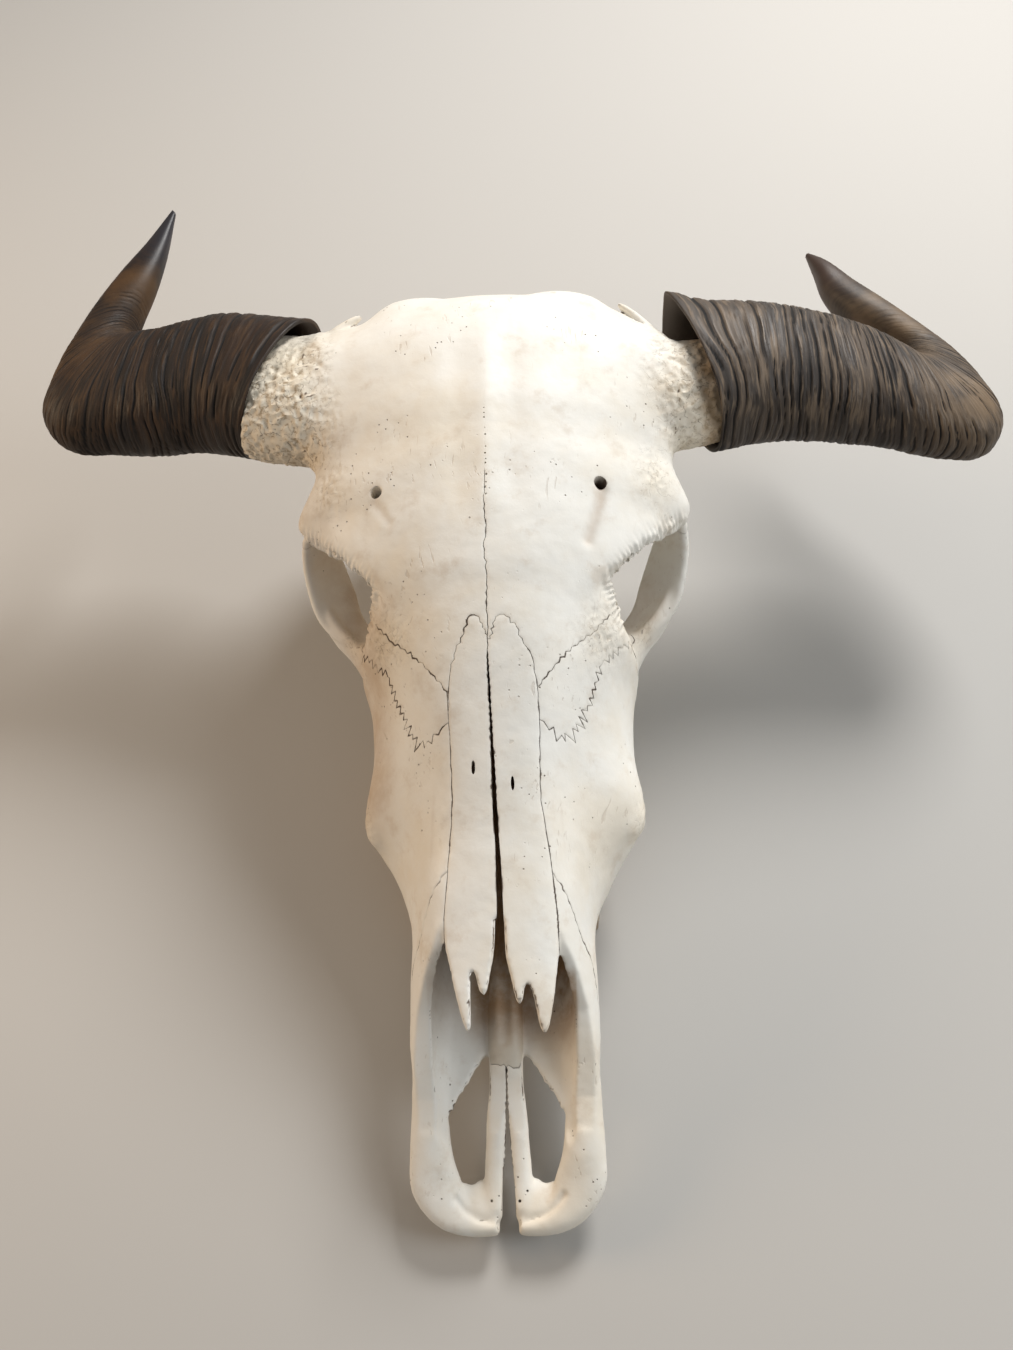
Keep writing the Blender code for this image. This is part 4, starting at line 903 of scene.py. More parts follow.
def whole_skull():
    """The bones of the skull as one solid, before the sutures part them."""
    side = [
        strip("orbit_wall", ORBIT_WALL, ORBIT_WALL_THICKNESS),
        sweep("arch", ZYGOMATIC_ARCH),
        sweep("premaxilla_bar", PREMAXILLA_BAR),
        sweep("palatine_bar", PALATINE_BAR),
        sweep("pterygoid", PTERYGOID_PLATE),
        swelling("premaxilla_plate", PREMAXILLA_PLATE),
    ]
    skull = fuse("skull", [body_of_skull()] + both_sides(side))
    change(skull, "REMESH", mode="VOXEL", voxel_size=JOIN_VOXEL)
    hole = prism("hole", ragged(PALATINE_HOLE, PALATE_TEETH, 5), *PALATE_SPAN)
    paired = both_sides([hole, swelling("corner", ORBIT_CORNER)])
    cut(skull, fuse("openings", paired + [swelling("spinal_opening", SPINAL_OPENING)]))
    cut(skull, fuse("orbits", both_sides([swelling("orbit", ORBIT_HOLLOW)])))
    cut(skull, section_loft("cavity", CAVITY_SECTIONS, cavity_half, 5))
    cut(skull, muzzle_cutter())
    vomer = sweep("vomer", VOMER_RUN)
    cut(vomer, sweep("trough", VOMER_TROUGH))
    skull = fuse("skull", [skull, vomer] + [sweep("sliver", run, spacing=0.003) for run in SLIVERS])
    run_together(skull, SKIN_VOXEL, SKIN_ROUNDS)
    return skull


def on_left(spots):
    """The spots with those of the right side mirrored to the left."""
    return np.column_stack([np.abs(spots[:, 0]), spots[:, 1:]])


def coral(spots):
    """How rough the foot of the horn is: all round it on the right, near the sheath on the left."""
    x, y, z = spots.T
    lean = 0.006 * grain(spots, 0.014, 41)
    left = x > 0
    start, full = np.where(left, *CORAL_START), np.where(left, *CORAL_FULL)
    foot = ease(np.abs(x) + 1.6 * lean, start, full) * ease(y, *CORAL_RUN)
    foot *= np.where(left, 0.75, 1.0) * (1 - 0.6 * ease(y + lean, *CORAL_FADE))
    return foot * ease(z, *CORAL_RISE)


def along_edge(spots, edge):
    """Distance from a line through points, and how far along it the nearest place is."""
    near = np.full(len(spots), 1.0)
    along = np.zeros(len(spots))
    done = 0.0
    for start, end in zip(edge, edge[1:]):
        start, end = np.array(start), np.array(end)
        run = end - start
        length = np.linalg.norm(run)
        share = np.clip((spots - start) @ run / length**2, 0.0, 1.0)
        gap = np.linalg.norm(spots - (start + share[:, None] * run), axis=1)
        closer = gap < near
        near[closer] = gap[closer]
        along[closer] = done + share[closer] * length
        done += length
    return near, along


def orbit_edge(spots):
    """How close each spot is to the edge of an orbit, from 0 to 1, and how far along the edge it lies."""
    near, along = along_edge(on_left(spots), ORBIT_EDGE)
    return np.exp(-(near / EDGE_REACH) ** 2), along


def pitted(spots):
    """Where the bone is pitted, from 0 to 1."""
    spots = on_left(spots)
    total = np.zeros(len(spots))
    for row in PITTED:
        total += np.exp(-(((spots - np.array(row[:3])) / np.array(row[3:])) ** 2).sum(axis=1))
    return np.clip(total, 0.0, 1.0)


def furrowed(spots):
    """How deep the soft furrows of the forehead are."""
    total = np.zeros(len(spots))
    for run, reach, depth in FURROWS:
        total += depth * np.exp(-(along_edge(spots[:, :2], run)[0] / reach) ** 2)
    return total * ease(spots[:, 2], 0.150, 0.160)


def relief(spots):
    """How high the skin of the bone stands over its plain form."""
    x, y, z = spots.T
    height = sum(rise * grain(spots, width, seed) for rise, width, seed in WAVES)
    crest = within(y, *CREST_RUN) * ease(z, *CREST_RISE)
    height += crest * (CREST_HEIGHT * np.exp(-(x / 0.006) ** 2)
                       - CREST_HEIGHT * np.exp(-((np.abs(x) - 0.016) / 0.008) ** 2))
    worms = 1.0 - 2.4 * np.abs(grain(spots, 0.0044, 3))
    height += coral(spots) * CORAL_HEIGHT * (0.8 * worms + 0.55 * grain(spots, 0.0026, 4))
    edge, along = orbit_edge(spots)
    teeth = np.sin(2 * np.pi * along / EDGE_PITCH + 1.8 * grain(spots, 0.010, 5) + np.sign(x))
    height += edge * EDGE_HEIGHT * (0.35 * teeth + 0.9 * grain(spots, 0.0036, 6))
    height += pitted(spots) * PIT_HEIGHT * (0.6 - 1.6 * np.abs(grain(spots, 0.0042, 7)))
    for run in LIP_TROUGHS:
        height -= LIP_TROUGH_DEPTH * np.exp(-(along_edge(spots, run)[0] / LIP_TROUGH_REACH) ** 2)
    return height - furrowed(spots)


def work_surface(skull):
    """Raise and lower the skin of the bone, and give each side what it has of its own."""
    spots = places_of(skull)
    x, y, z = spots.T
    moved = spots + normals_of(skull) * relief(spots)[:, None]
    across, back = (x - NECK_PLACE[0]) / NECK_REACH[0], (y - NECK_PLACE[1]) / NECK_REACH[1]
    neck = np.exp(-across**2 - back**2) * ease(z, *NECK_RISE)
    moved[:, :2] += neck[:, None] * NECK_SHIFT
    drop = sum(fall * ease(side * x, start, full) for side, start, full, fall in REAR_DROPS)
    moved[:, 1] -= ease(y, *REAR_RUN) * ease(z, *REAR_RISE) * drop
    moved[:, 0] *= 1 - NARROW_CHEEK * (within(y, *NARROW_CHEEK_RUN) * (x < 0))
    put_places(skull, moved)


def hole_cutter(hole):
    """A tapered pin that leaves a rounded opening."""
    bpy.ops.mesh.primitive_cone_add(vertices=20, radius1=hole.radius * 0.55, radius2=hole.radius * 1.15,
                                    depth=hole.depth)
    pin = bpy.context.active_object
    inwards = Vector(hole.inwards).normalized()
    turn = inwards.to_track_quat("-Z", "Y").to_matrix().to_4x4()
    pin.data.transform(Matrix.Translation(Vector(hole.mouth) + inwards * (0.32 * hole.depth)) @ turn)
    return pin


def midline_pores():
    """A broken row of pores along the closed seam of the forehead."""
    chance = np.random.default_rng(15)
    pores = []
    y = PORES_START
    while y < PORES_END:
        mouth = (chance.uniform(*PORE_SWAY), y, PORE_HEIGHT)
        pores.append(Hole(mouth, (0.0, 0.3, -1.0), chance.uniform(*PORE_RADII), PORE_DEPTH))
        y += chance.uniform(*PORE_GAPS)
    return pores


def edge_notches():
    """Small cuts across the edge of each orbit, which leave it toothed."""
    chance = np.random.default_rng(9)
    corners = np.array(ORBIT_EDGE)
    places = lengths_along(ORBIT_EDGE)
    notches = []
    for sign in (1.0, -1.0):
        along = NOTCH_START
        while along < places[-1]:
            spot = np.array([np.interp(along, places, corners[:, axis]) for axis in range(3)])
            inwards = np.array(metres(ORBIT_HOLLOW[:3])) - spot
            sway = chance.uniform(-NOTCH_SWAY, NOTCH_SWAY, 3)
            spot = (spot + inwards * NOTCH_INSET + sway) * (sign, 1.0, 1.0)
            turn = Vector(inwards * (sign, 1.0, 1.0)).to_track_quat("X", "Z")
            narrow, deep = chance.uniform(*NOTCH_WIDTHS), chance.uniform(*NOTCH_DEPTHS)
            notches.append(ball("notch", spot, turn, (deep, narrow, NOTCH_HEIGHT), 2))
            along += chance.uniform(*NOTCH_GAPS)
    return notches


def open_holes(skull):
    """Openings for vessels and nerves, notches in the orbits' edges, and slits in the nose and the palate."""
    pins = both_sides([hole_cutter(hole) for hole in PAIRED_HOLES])
    cut(skull, fuse("pins", pins + [hole_cutter(hole) for hole in SINGLE_HOLES + midline_pores()]))
    cut(skull, fuse("notches", edge_notches() + [swelling("slot", slot) for slot in NASAL_SLOTS]))
    cut(skull, fuse("slits", [
        prism("slit", ragged(NASAL_SLIT, NASAL_SLIT_TEETH, 6), *NASAL_SLIT_SPAN),
        prism("slot", ragged(MIDLINE_SLOT, MIDLINE_TEETH, 7), *PALATE_SPAN),
    ]))


def take(rest, region, *span, gap=SUTURE_GAP, **way):
    """Part the bone inside a region from the rest, leaving the width of a suture between them."""
    bone = new_object("bone", rest.data.copy())
    cut(bone, prism("region", region, *span, **way), "INTERSECT")
    cut(rest, prism("region", region, *span, grow=gap, **way))
    return bone


def box_plan(x_low, x_high, y_low, y_high):
    return [(x_low, y_low), (x_high, y_low), (x_high, y_high), (x_low, y_high)]


def midline(width_side):
    """The line between the two halves from above: nearly closed at the back, a crack towards the nose."""
    chance = np.random.default_rng(11)
    line = []
    for y in np.arange(*MIDLINE_SPAN, MIDLINE_STEP):
        reach = MIDLINE_TOOTH * float(within(y, *MIDLINE_TOOTHED_RUN))
        gap = OPEN_MIDLINE if y < MIDLINE_CLOSES else CLOSED_MIDLINE
        bend = float(np.interp(y, MIDLINE_PLACES, MIDLINE_BENDS))
        line.append((bend + chance.uniform(-reach, reach) + width_side * 0.5 * gap, y))
    return line


def part_the_half(side, rest):
    """Take the bones of one half out of it; what stays is its temporal bone."""
    number = ("left", "right").index(side)
    sign = (1.0, -1.0)[number]

    def plan(outline, teeth):
        return [(sign * x, y) for x, y in ragged(outline, teeth, 30 + number)]

    def across(low, high):
        return sorted((sign * low, sign * high))

    nasal = plan(NASAL_SUTURE[side] + NASAL_ENVELOPE[side], NASAL_TEETH)
    lacrimal = plan(LACRIMAL_PLAN, LACRIMAL_TEETH)
    zygomatic = plan(ZYGOMATIC_PLAN, ZYGOMATIC_TEETH)
    horn_core = box_plan(*across(HORN_CORE_ROOT, FAR), HORN_CORE_FRONT, FAR)
    premaxilla = ragged(PREMAXILLA_SIDE, PREMAXILLA_TEETH, 40 + number)
    maxilla = box_plan(*across(BELOW, FAR), BELOW, MAXILLA_REAR)
    bones = {
        "nasal": take(rest, nasal, NASAL_LOW, ROOF, rise=NASAL_FLOOR_SLOPE),
        "lacrimal": take(rest, lacrimal, LACRIMAL_FLOOR, ROOF),
        "horn_core": take(rest, horn_core, HORN_CORE_FLOOR, ROOF, gap=HAIR_GAP),
        "frontal": take(rest, plan(FRONTAL_PLAN, {}), FRONTAL_FLOOR, ROOF),
        "zygomatic": take(rest, zygomatic, ZYGOMATIC_FLOOR, FRONTAL_FLOOR),
        "premaxilla": take(rest, premaxilla, *across(BELOW, FAR), axis="x"),
        "maxilla": take(rest, maxilla, BELOW, ROOF),
        "temporal": rest,
    }
    return {name + "_" + side: bone for name, bone in bones.items()}


def part_the_bones(skull):
    """Part the skull along its sutures: the middle bones first, then those of each half."""
    cut(skull, prism("under_floor", box_plan(-FAR, FAR, -FAR, FAR), BELOW, 0.0))
    occipital = ragged(OCCIPITAL_SIDE, OCCIPITAL_TEETH, 21)
    sphenoid = ragged(SPHENOID_PLAN, SPHENOID_TEETH, 22)
    bones = {
        "vomer": take(skull, VOMER_PLAN, VOMER_LOW, VOMER_HIGH, rise=VOMER_FLOOR_SLOPE, gap=HAIR_GAP),
        "occipital": take(skull, occipital, -FAR, FAR, axis="x"),
        "sphenoid": take(skull, sphenoid, SPHENOID_FLOOR, FRONTAL_FLOOR),
    }
    halves = {"left": new_object("left_half", skull.data.copy()), "right": skull}
    for half, sign in zip(halves.values(), (1.0, -1.0)):
        far_edge = [(-sign * FAR, y) for y in reversed(MIDLINE_SPAN)]
        cut(half, prism("other_half", far_edge + midline(sign), BELOW, MIDLINE_TOP))
    for side, half in halves.items():
        bones.update(part_the_half(side, half))
    for bone in bones.values():
        largest_shell(bone)
    return bones


def sharp_vertices(mesh):
    """Vertices on edges where two faces meet at an angle: there the bone was parted."""
    edge_of = read(mesh.loops, "edge_index")
    sizes = read(mesh.polygons, "loop_total")
    normals = read(mesh.polygons, "normal", 3, np.float32)
    face_of = np.repeat(np.arange(len(sizes)), sizes)
    order = np.argsort(edge_of, kind="stable")
    edge_of, face_of = edge_of[order], face_of[order]
    pair = np.flatnonzero(edge_of[1:] == edge_of[:-1])
    bend = (normals[face_of[pair]] * normals[face_of[pair + 1]]).sum(axis=1)
    sharp = edge_of[pair[bend < math.cos(SHARP_EDGE)]]
    return np.unique(read(mesh.edges, "vertices", 2)[sharp])


def distance_to(spots, marks):
    """How far each spot is from the nearest mark; beyond the reach of a seam it counts as far away."""
    def cell(points, shift=(0, 0, 0)):
        corner = np.floor(points / (2 * SEAM_REACH)).astype(np.int64) + np.array(shift)
        return (corner[:, 0] << 40) + (corner[:, 1] << 20) + corner[:, 2]

    steps = [(i, j, k) for i in (-1, 0, 1) for j in (-1, 0, 1) for k in (-1, 0, 1)]
    around = np.unique(np.concatenate([cell(marks, step) for step in steps]))
    tree = KDTree(len(marks))
    for number, mark in enumerate(marks.tolist()):
        tree.insert(mark, number)
    tree.balance()
    near = np.full(len(spots), 1.0)
    close = np.flatnonzero(np.isin(cell(spots), around))
    near[close] = [tree.find(spot)[2] for spot in spots[close].tolist()]
    return near


def over_nasal_floor(y, start):
    """Height at y of a line that rises like the floor of the nasal bones, from a height at its start."""
    return start + NASAL_FLOOR_SLOPE * (y - NASAL_FLOOR_START[0])


def open_seam(marks):
    """Which seams show: at the horns' feet, far back on the forehead and inside the nose they have closed."""
    x, y, z = on_left(marks).T
    foot = (x > HORN_CORE_ROOT - 0.002) & (y > 0.38)
    back = (x < 0.004) & (y > 0.368)
    inside = (x < NOSE_HALVES[0]) & (y > 0.086) & (z < over_nasal_floor(y, CLOSED_NOSE_HEIGHT))
    base = z < 0.010
    edge = orbit_edge(marks)[0] > 0.15
    return ~(foot | back | inside | base | edge)


def nose_tan_and_shade(spots):
    """The tan inside of the nose, partly staining and partly painted shade in the cavity, weaker towards the
    outer side on the right.
    """
    x, y, z = on_left(spots).T
    wall = np.interp(y, NOSE_PLACES, NOSE_HALVES)
    nose = (1 - ease(x - wall, -0.0005, 0.0015)) * within(y, *NOSE_TAN_AND_SHADE_RUN) * ease(z, 0.030, 0.040)
    nose *= np.where(spots[:, 0] > 0, 1.0, 1 - 0.7 * ease(x, 0.014, 0.024))
    return nose * (1 - ease(z - over_nasal_floor(y, NASAL_FLOOR_START[1]), -0.008, -0.003))


def stain_and_shade(spots):
    """Where the bone is tan: staining at the left horn's joint, staining and painted shade in the nose and
    orbits, painted shade in the furrows, and painted shade with the bone's own warmth on the right cheek and
    brow.
    """
    x, y = spots[:, 0], spots[:, 1]
    # Tan inside the orbits: staining with painted shade in the hollow
    sides = zip(on_left(spots).T, ORBIT_TAN_AND_SHADE_PLACE)
    far = [((place - middle) / reach) ** 2 for place, (middle, reach) in sides]
    orbit = ORBIT_TAN_AND_SHADE * np.exp(-sum(far))
    slant = x + JOINT_STAIN_SLANT * (y - JOINT_STAIN_MIDDLE) + 0.002 * grain(spots, 0.005, 13)
    joint = ease(slant, *JOINT_STAIN_SIDE) * ease(y, *JOINT_STAIN_RUN) * (0.8 + 0.4 * grain(spots, 0.008, 12))
    # Right cheek and brow: the bone's own warmth with painted shade on the side away from the main light
    cheek = CHEEK_SHADE_AND_TAN * ease(-x, *CHEEK_SHADE_AND_TAN_SIDE) * within(y, *CHEEK_SHADE_AND_TAN_RUN)
    brow = BROW_SHADE_AND_TAN * ease(-x, *BROW_SHADE_AND_TAN_SIDE) * within(y, *BROW_SHADE_AND_TAN_RUN)
    # painted shade in the furrows, darker where they are deeper
    furrow = FURROW_SHADE * furrowed(spots) / DEEPEST_FURROW
    return np.clip(nose_tan_and_shade(spots) + orbit + joint + cheek + brow + furrow, 0.0, 1.0)


def finish_bone(bone):
    """Ease the edges of the sutures and mark seams, rough bone, and stains with painted shade for the finish.
    """
    spots, normals = places_of(bone), normals_of(bone)
    marks = spots[sharp_vertices(bone.data)]
    near = distance_to(spots, marks[open_seam(marks)])
    fall = np.clip(1.0 - near / SEAM_REACH, 0.0, 1.0) ** 2
    put_places(bone, spots - normals * (SEAM_DEPTH * fall)[:, None])
    uneven = 0.42 + 0.8 * grain(spots, 0.009, 8) + 0.5 * grain(spots, 0.0025, 9)
    back = np.where(np.abs(spots[:, 0]) < 0.003, 1 - 0.65 * ease(spots[:, 1], 0.330, 0.362), 1.0)
    rough = coral(spots) + 0.15 * orbit_edge(spots)[0] + 0.5 * pitted(spots)
    write_mask(bone, "seam", np.exp(-(near / SEAM_WIDTH) ** 2) * np.clip(uneven * back, 0.04, 1.0))
    write_mask(bone, "rough", np.clip(rough, 0.0, 1.0))
    write_mask(bone, "stain_and_shade", stain_and_shade(spots))
    bone.data.shade_smooth()
    bone.data.set_sharp_from_angle(angle=SHARP_EDGE)


def tooth_ring(size, centre, share, z, inset, two_lobed):
    """One ring of a tooth with fluted sides; a two-lobed tooth has a waist."""
    ring = []
    for across, along in oval(CROWN_SIDES, CROWN_FULLNESS):
        if two_lobed:
            across *= 1.0 - 0.16 * math.exp(-(along / 0.22) ** 2)
        across *= 1.0 + 0.05 * math.cos(3 * math.pi * along)
        half_width = 0.5 * size.width * share - inset
        half_length = 0.5 * size.length * share - inset - TOOTH_GAP
        ring.append((centre[0] + half_width * across, centre[1] + half_length * along, z))
    return ring


def enamel_island(size, centre, lobe):
    """A curved ridge of enamel across one lobe of a tooth's worn face."""
    run = []
    for t in np.linspace(-1.0, 1.0, 9).tolist():
        x = centre[0] + 0.30 * size.width * t * 0.9
        y = centre[1] + lobe * size.length + 0.10 * size.length * (t * t - 0.4)
        run.append((x, y, 0.0012, 0.0016, 0.0026))
    return sweep("island", run, spacing=0.0010, sides=10)


def cheek_tooth(size, centre, two_lobed):
    """A tooth worn flat, with a rim of enamel round a dish of dentine and an enamel island in each lobe."""
    lobes = (-0.24, 0.24) if two_lobed else (0.0,)
    rings = [tooth_ring(size, centre, *ring, two_lobed) for ring in TOOTH_RINGS]
    return [loft("tooth", rings)] + [enamel_island(size, centre, lobe) for lobe in lobes]


def teeth_of(side):
    """The row of six cheek teeth of one side."""
    sign = 1.0 if side == "left" else -1.0
    row_end = TOOTH_ROW_START + sum(t.length for t in CHEEK_TEETH)
    place = TOOTH_ROW_START
    pieces = []
    for number, size in enumerate(CHEEK_TEETH):
        middle = place + 0.5 * size.length
        place += size.length
        share = (middle - TOOTH_ROW_START) / (row_end - TOOTH_ROW_START)
        x = sign * float(np.interp(share, (0.0, 0.5, 1.0), TOOTH_ROW_BEND))
        pieces += cheek_tooth(size, (x, middle), number >= FIRST_TWO_LOBED)
    row = fuse(side + "_cheek_teeth", pieces)
    spots = places_of(row)
    spots[:, 2] = np.maximum(spots[:, 2], 0.0)
    put_places(row, spots)
    write_mask(row, "worn", 1 - ease(spots[:, 2], 0.0003, 0.0025))
    row.data.shade_smooth()
    row.data.set_sharp_from_angle(angle=CROWN_EDGE)
    return row


def horn_ring(row, scale, thinner, sides=CORE_SIDES):
    """One ring of a horn, between its two edges; it can be made thinner all round."""
    outer, inner = Vector((row[0], row[1], row[4])), Vector((row[2], row[3], row[4]))
    across = 0.5 * (outer - inner)
    middle = 0.5 * (outer + inner)
    width = (across.length - thinner) * scale
    high = (0.5 * row[5] - thinner) * scale
    across.normalize()
    return [middle + across * (width * out) + Vector((0.0, 0.0, high * up))
            for out, up in oval(sides, HORN_FULLNESS)]


def horn_length(stations):
    return lengths_along([row[:2] for row in stations])[-1]


def horn_rows(stations, wanted):
    """Edges, height and thickness of a horn at places along it, counted from its rim."""
    return smooth_values(lengths_along([row[:2] for row in stations]), stations, wanted)


def socket_rings(stations):
    """The socket of a sheath from its bottom to its rim, where the wall thins out."""
    depths = SOCKET_DEPTH * np.array(FINE_SOCKET_STEPS)
    shares = np.interp(depths, SOCKET_DEPTH * np.array(SOCKET_STEPS[::-1]), SOCKET_SHARES[::-1])
    return [horn_ring(row, share, SOCKET_WALL * wall, SHEATH_SIDES)
            for row, share, wall in zip(horn_rows(stations, depths), shares, FINE_SOCKET_WALLS)]


def fit_core(core, stations):
    """Trim a horn core so that it enters its sheath and stops short of the sheath's rim outside."""
    wall = SOCKET_WALL + SOCKET_GAP
    ends = horn_rows(stations, np.array([-SOCKET_GAP, COLLAR_LENGTH]))
    collar = [horn_ring(row, 1.0, -COLLAR) for row in ends]
    rim = horn_ring(ends[0], 1.0, wall)
    rows = horn_rows(stations, SOCKET_DEPTH * np.array(SOCKET_STEPS[:-1]))
    inside = [horn_ring(row, share, wall) for row, share in zip(rows, SOCKET_SHARES)]
    cut(core, loft("collar", inside + [rim] + collar))
    largest_shell(core)


def growth_lines(run, drum, pitch, width, seed):
    """Broken dark cracks across a horn: how deep each spot is in one, and how far it is between two."""
    squeezed = np.stack([run, 0.1 * drum[:, 1], 0.1 * drum[:, 2]], axis=-1)
    order = run / pitch + 0.5 * grain(squeezed, 2 * pitch, seed)
    line = np.floor(order)
    part = order - line - 0.5
    spot = np.stack([line * 0.037, drum[:, 1], drum[:, 2]], axis=-1)
    broken = ease(grain(spot, 0.024, seed + 1), -0.25, 0.20) * ease(grain(spot, 0.007, seed + 2), -0.8, -0.3)
    return np.exp(-(part / width) ** 2) * broken, part


def growth(drum, end, seed):
    """How a sheath grew, on a drum that it is unrolled on: run of its rings, height and depth in a groove."""
    run = drum[:, 0] + 0.0026 * grain(drum, 0.020, seed) + 0.0006 * grain(drum, 0.007, seed + 1)
    squeezed = np.stack([run, 0.10 * drum[:, 1], 0.10 * drum[:, 2]], axis=-1)
    cracks, part = growth_lines(run, drum, CRACK_PITCH, CRACK_WIDTH, seed + 2)
    fine = growth_lines(run, drum, FINE_PITCH, FINE_WIDTH, seed + 6)[0]
    rings = 0.8 * grain(squeezed, 0.0115, seed + 10) + 0.3 * grain(squeezed, 0.0034, seed + 11) + 0.5 * part
    fade_start, fade_end = (share * end for share in RINGS_FADE)
    fade = 1 - ease(drum[:, 0] + 0.03 * grain(drum, 0.03, seed + 12), fade_start, fade_end)
    height = RIDGE_HEIGHT * (0.62 * rings - 1.05 * cracks - 0.35 * fine) * fade
    return run, height, (cracks + 0.45 * fine - 0.30 * rings) * fade


def raised(outside, height):
    """The outside of a sheath with its ridges, which are lower where its rings crowd and near its tip."""
    steps = np.linalg.norm(np.diff(outside, axis=0, append=outside[-1:]), axis=2) / SHEATH_STEP
    steps[-1] = steps[-2]
    even = np.clip(steps, 0.0, 1.0).reshape(-1) ** 2
    out = outside - outside.mean(axis=1, keepdims=True)
    size = np.linalg.norm(out, axis=2, keepdims=True)
    out /= np.maximum(size, 1e-6)
    return outside + out * ((height * even).reshape(size.shape) * np.clip(size / 0.02, 0.05, 1.0))


def horn_sheath(name, stations, seed):
    """A sheath of overlapping growth rings with broken cracks between them, smooth towards its tip."""
    end = horn_length(stations)
    places = np.arange(0.0, end, SHEATH_STEP)
    rings = [horn_ring(row, 1.0, 0.0, SHEATH_SIDES) for row in horn_rows(stations, places)]
    outside = np.array([[tuple(point) for point in ring] for ring in rings])
    angles = 2 * np.pi * np.arange(SHEATH_SIDES) / SHEATH_SIDES
    place, angle = (grid.reshape(-1) for grid in np.meshgrid(places, angles, indexing="ij"))
    drum = np.stack([place, DRUM_RADIUS * np.cos(angle), DRUM_RADIUS * np.sin(angle)], axis=-1)
    run, height, groove = growth(drum, end, seed)
    socket = socket_rings(stations)
    sheath = loft(name, socket + list(raised(outside, height)))
    marks = {"groove": groove, "along": place / end, "run": run * 100.0, "front": np.cos(angle),
             "top": np.sin(angle)}
    for mark, values in marks.items():
        write_mask(sheath, mark, np.concatenate([np.zeros(len(socket) * SHEATH_SIDES), values]))
    spots = places_of(sheath)
    near = np.exp(-((spots - np.array(RIM_CORNER)) ** 2).sum(axis=1) / RIM_CORNER_REACH**2)
    put_places(sheath, spots + near[:, None] * np.array(RIM_CORNER_RISE))
    sheath.data.shade_smooth()
    return sheath


class Shade:
    """One output of a material's node; sums, differences and products of it add Math nodes."""

    def __init__(self, tree, socket=None):
        self.tree = tree
        self.socket = socket

    def node(self, kind, inputs, output=0, **settings):
        """Any node of this material: its settings are set first, then the values or links of its sockets."""
        node = self.tree.nodes.new("ShaderNode" + kind)
        for name, value in settings.items():
            setattr(node, name, value)
        for name, value in inputs.items():
            if isinstance(value, Shade):
                self.tree.links.new(value.socket, node.inputs[name])
            else:
                node.inputs[name].default_value = value
        return Shade(self.tree, node.outputs[output])

    def maths(self, operation, *values):
        return self.node("Math", dict(enumerate(values)), operation=operation)

    def __add__(self, other):
        return self.maths("ADD", self, other)

    def __sub__(self, other):
        return self.maths("SUBTRACT", self, other)

    def __rsub__(self, other):
        return self.maths("SUBTRACT", other, self)

    def __mul__(self, other):
        return self.maths("MULTIPLY", self, other)

    __radd__ = __add__
    __rmul__ = __mul__

    def between(self, start, end, low=0.0, high=1.0):
        """From low at start to high at end, without a corner."""
        ends = {"From Min": start, "From Max": end, "To Min": low, "To Max": high}
        return self.node("MapRange", {"Value": self, **ends}, interpolation_type="SMOOTHSTEP")

    def mixed(self, below, above):
        """A colour between two, by this value; a plain colour is red, green and blue."""
        ends = [colour if isinstance(colour, Shade) else (*colour, 1.0) for colour in (below, above)]
        return self.node("Mix", {"Factor": self, 6: ends[0], 7: ends[1]}, 2, data_type="RGBA")

    def noise(self, scale, detail=2.0, roughness=0.5, output=0):
        """Soft random values, read at this place."""
        inputs = {"Vector": self, "Scale": scale, "Detail": detail, "Roughness": roughness}
        return self.node("TexNoise", inputs, output)

    def stretched(self, scale, turn=LEVEL):
        return self.node("Mapping", {"Vector": self, "Scale": scale, "Rotation": turn})

    def bump(self, strength, distance):
        return self.node("Bump", {"Height": self, "Strength": strength, "Distance": distance})


def new_material(name, *masks):
    """A new material, the place that its patterns are read at, and the piece's own masks."""
    material = bpy.data.materials.new(name)
    material.use_nodes = True
    start = Shade(material.node_tree)
    place = start.node("TexCoord", {}, "Object")
    return [material, place] + [start.node("Attribute", {}, "Fac", attribute_name=mask) for mask in masks]


def wire(material, values):
    """Give the shader its values and links."""
    shader = material.node_tree.nodes["Principled BSDF"]
    for name, value in values.items():
        if isinstance(value, Shade):
            material.node_tree.links.new(value.socket, shader.inputs[name])
        else:
            shader.inputs[name].default_value = value


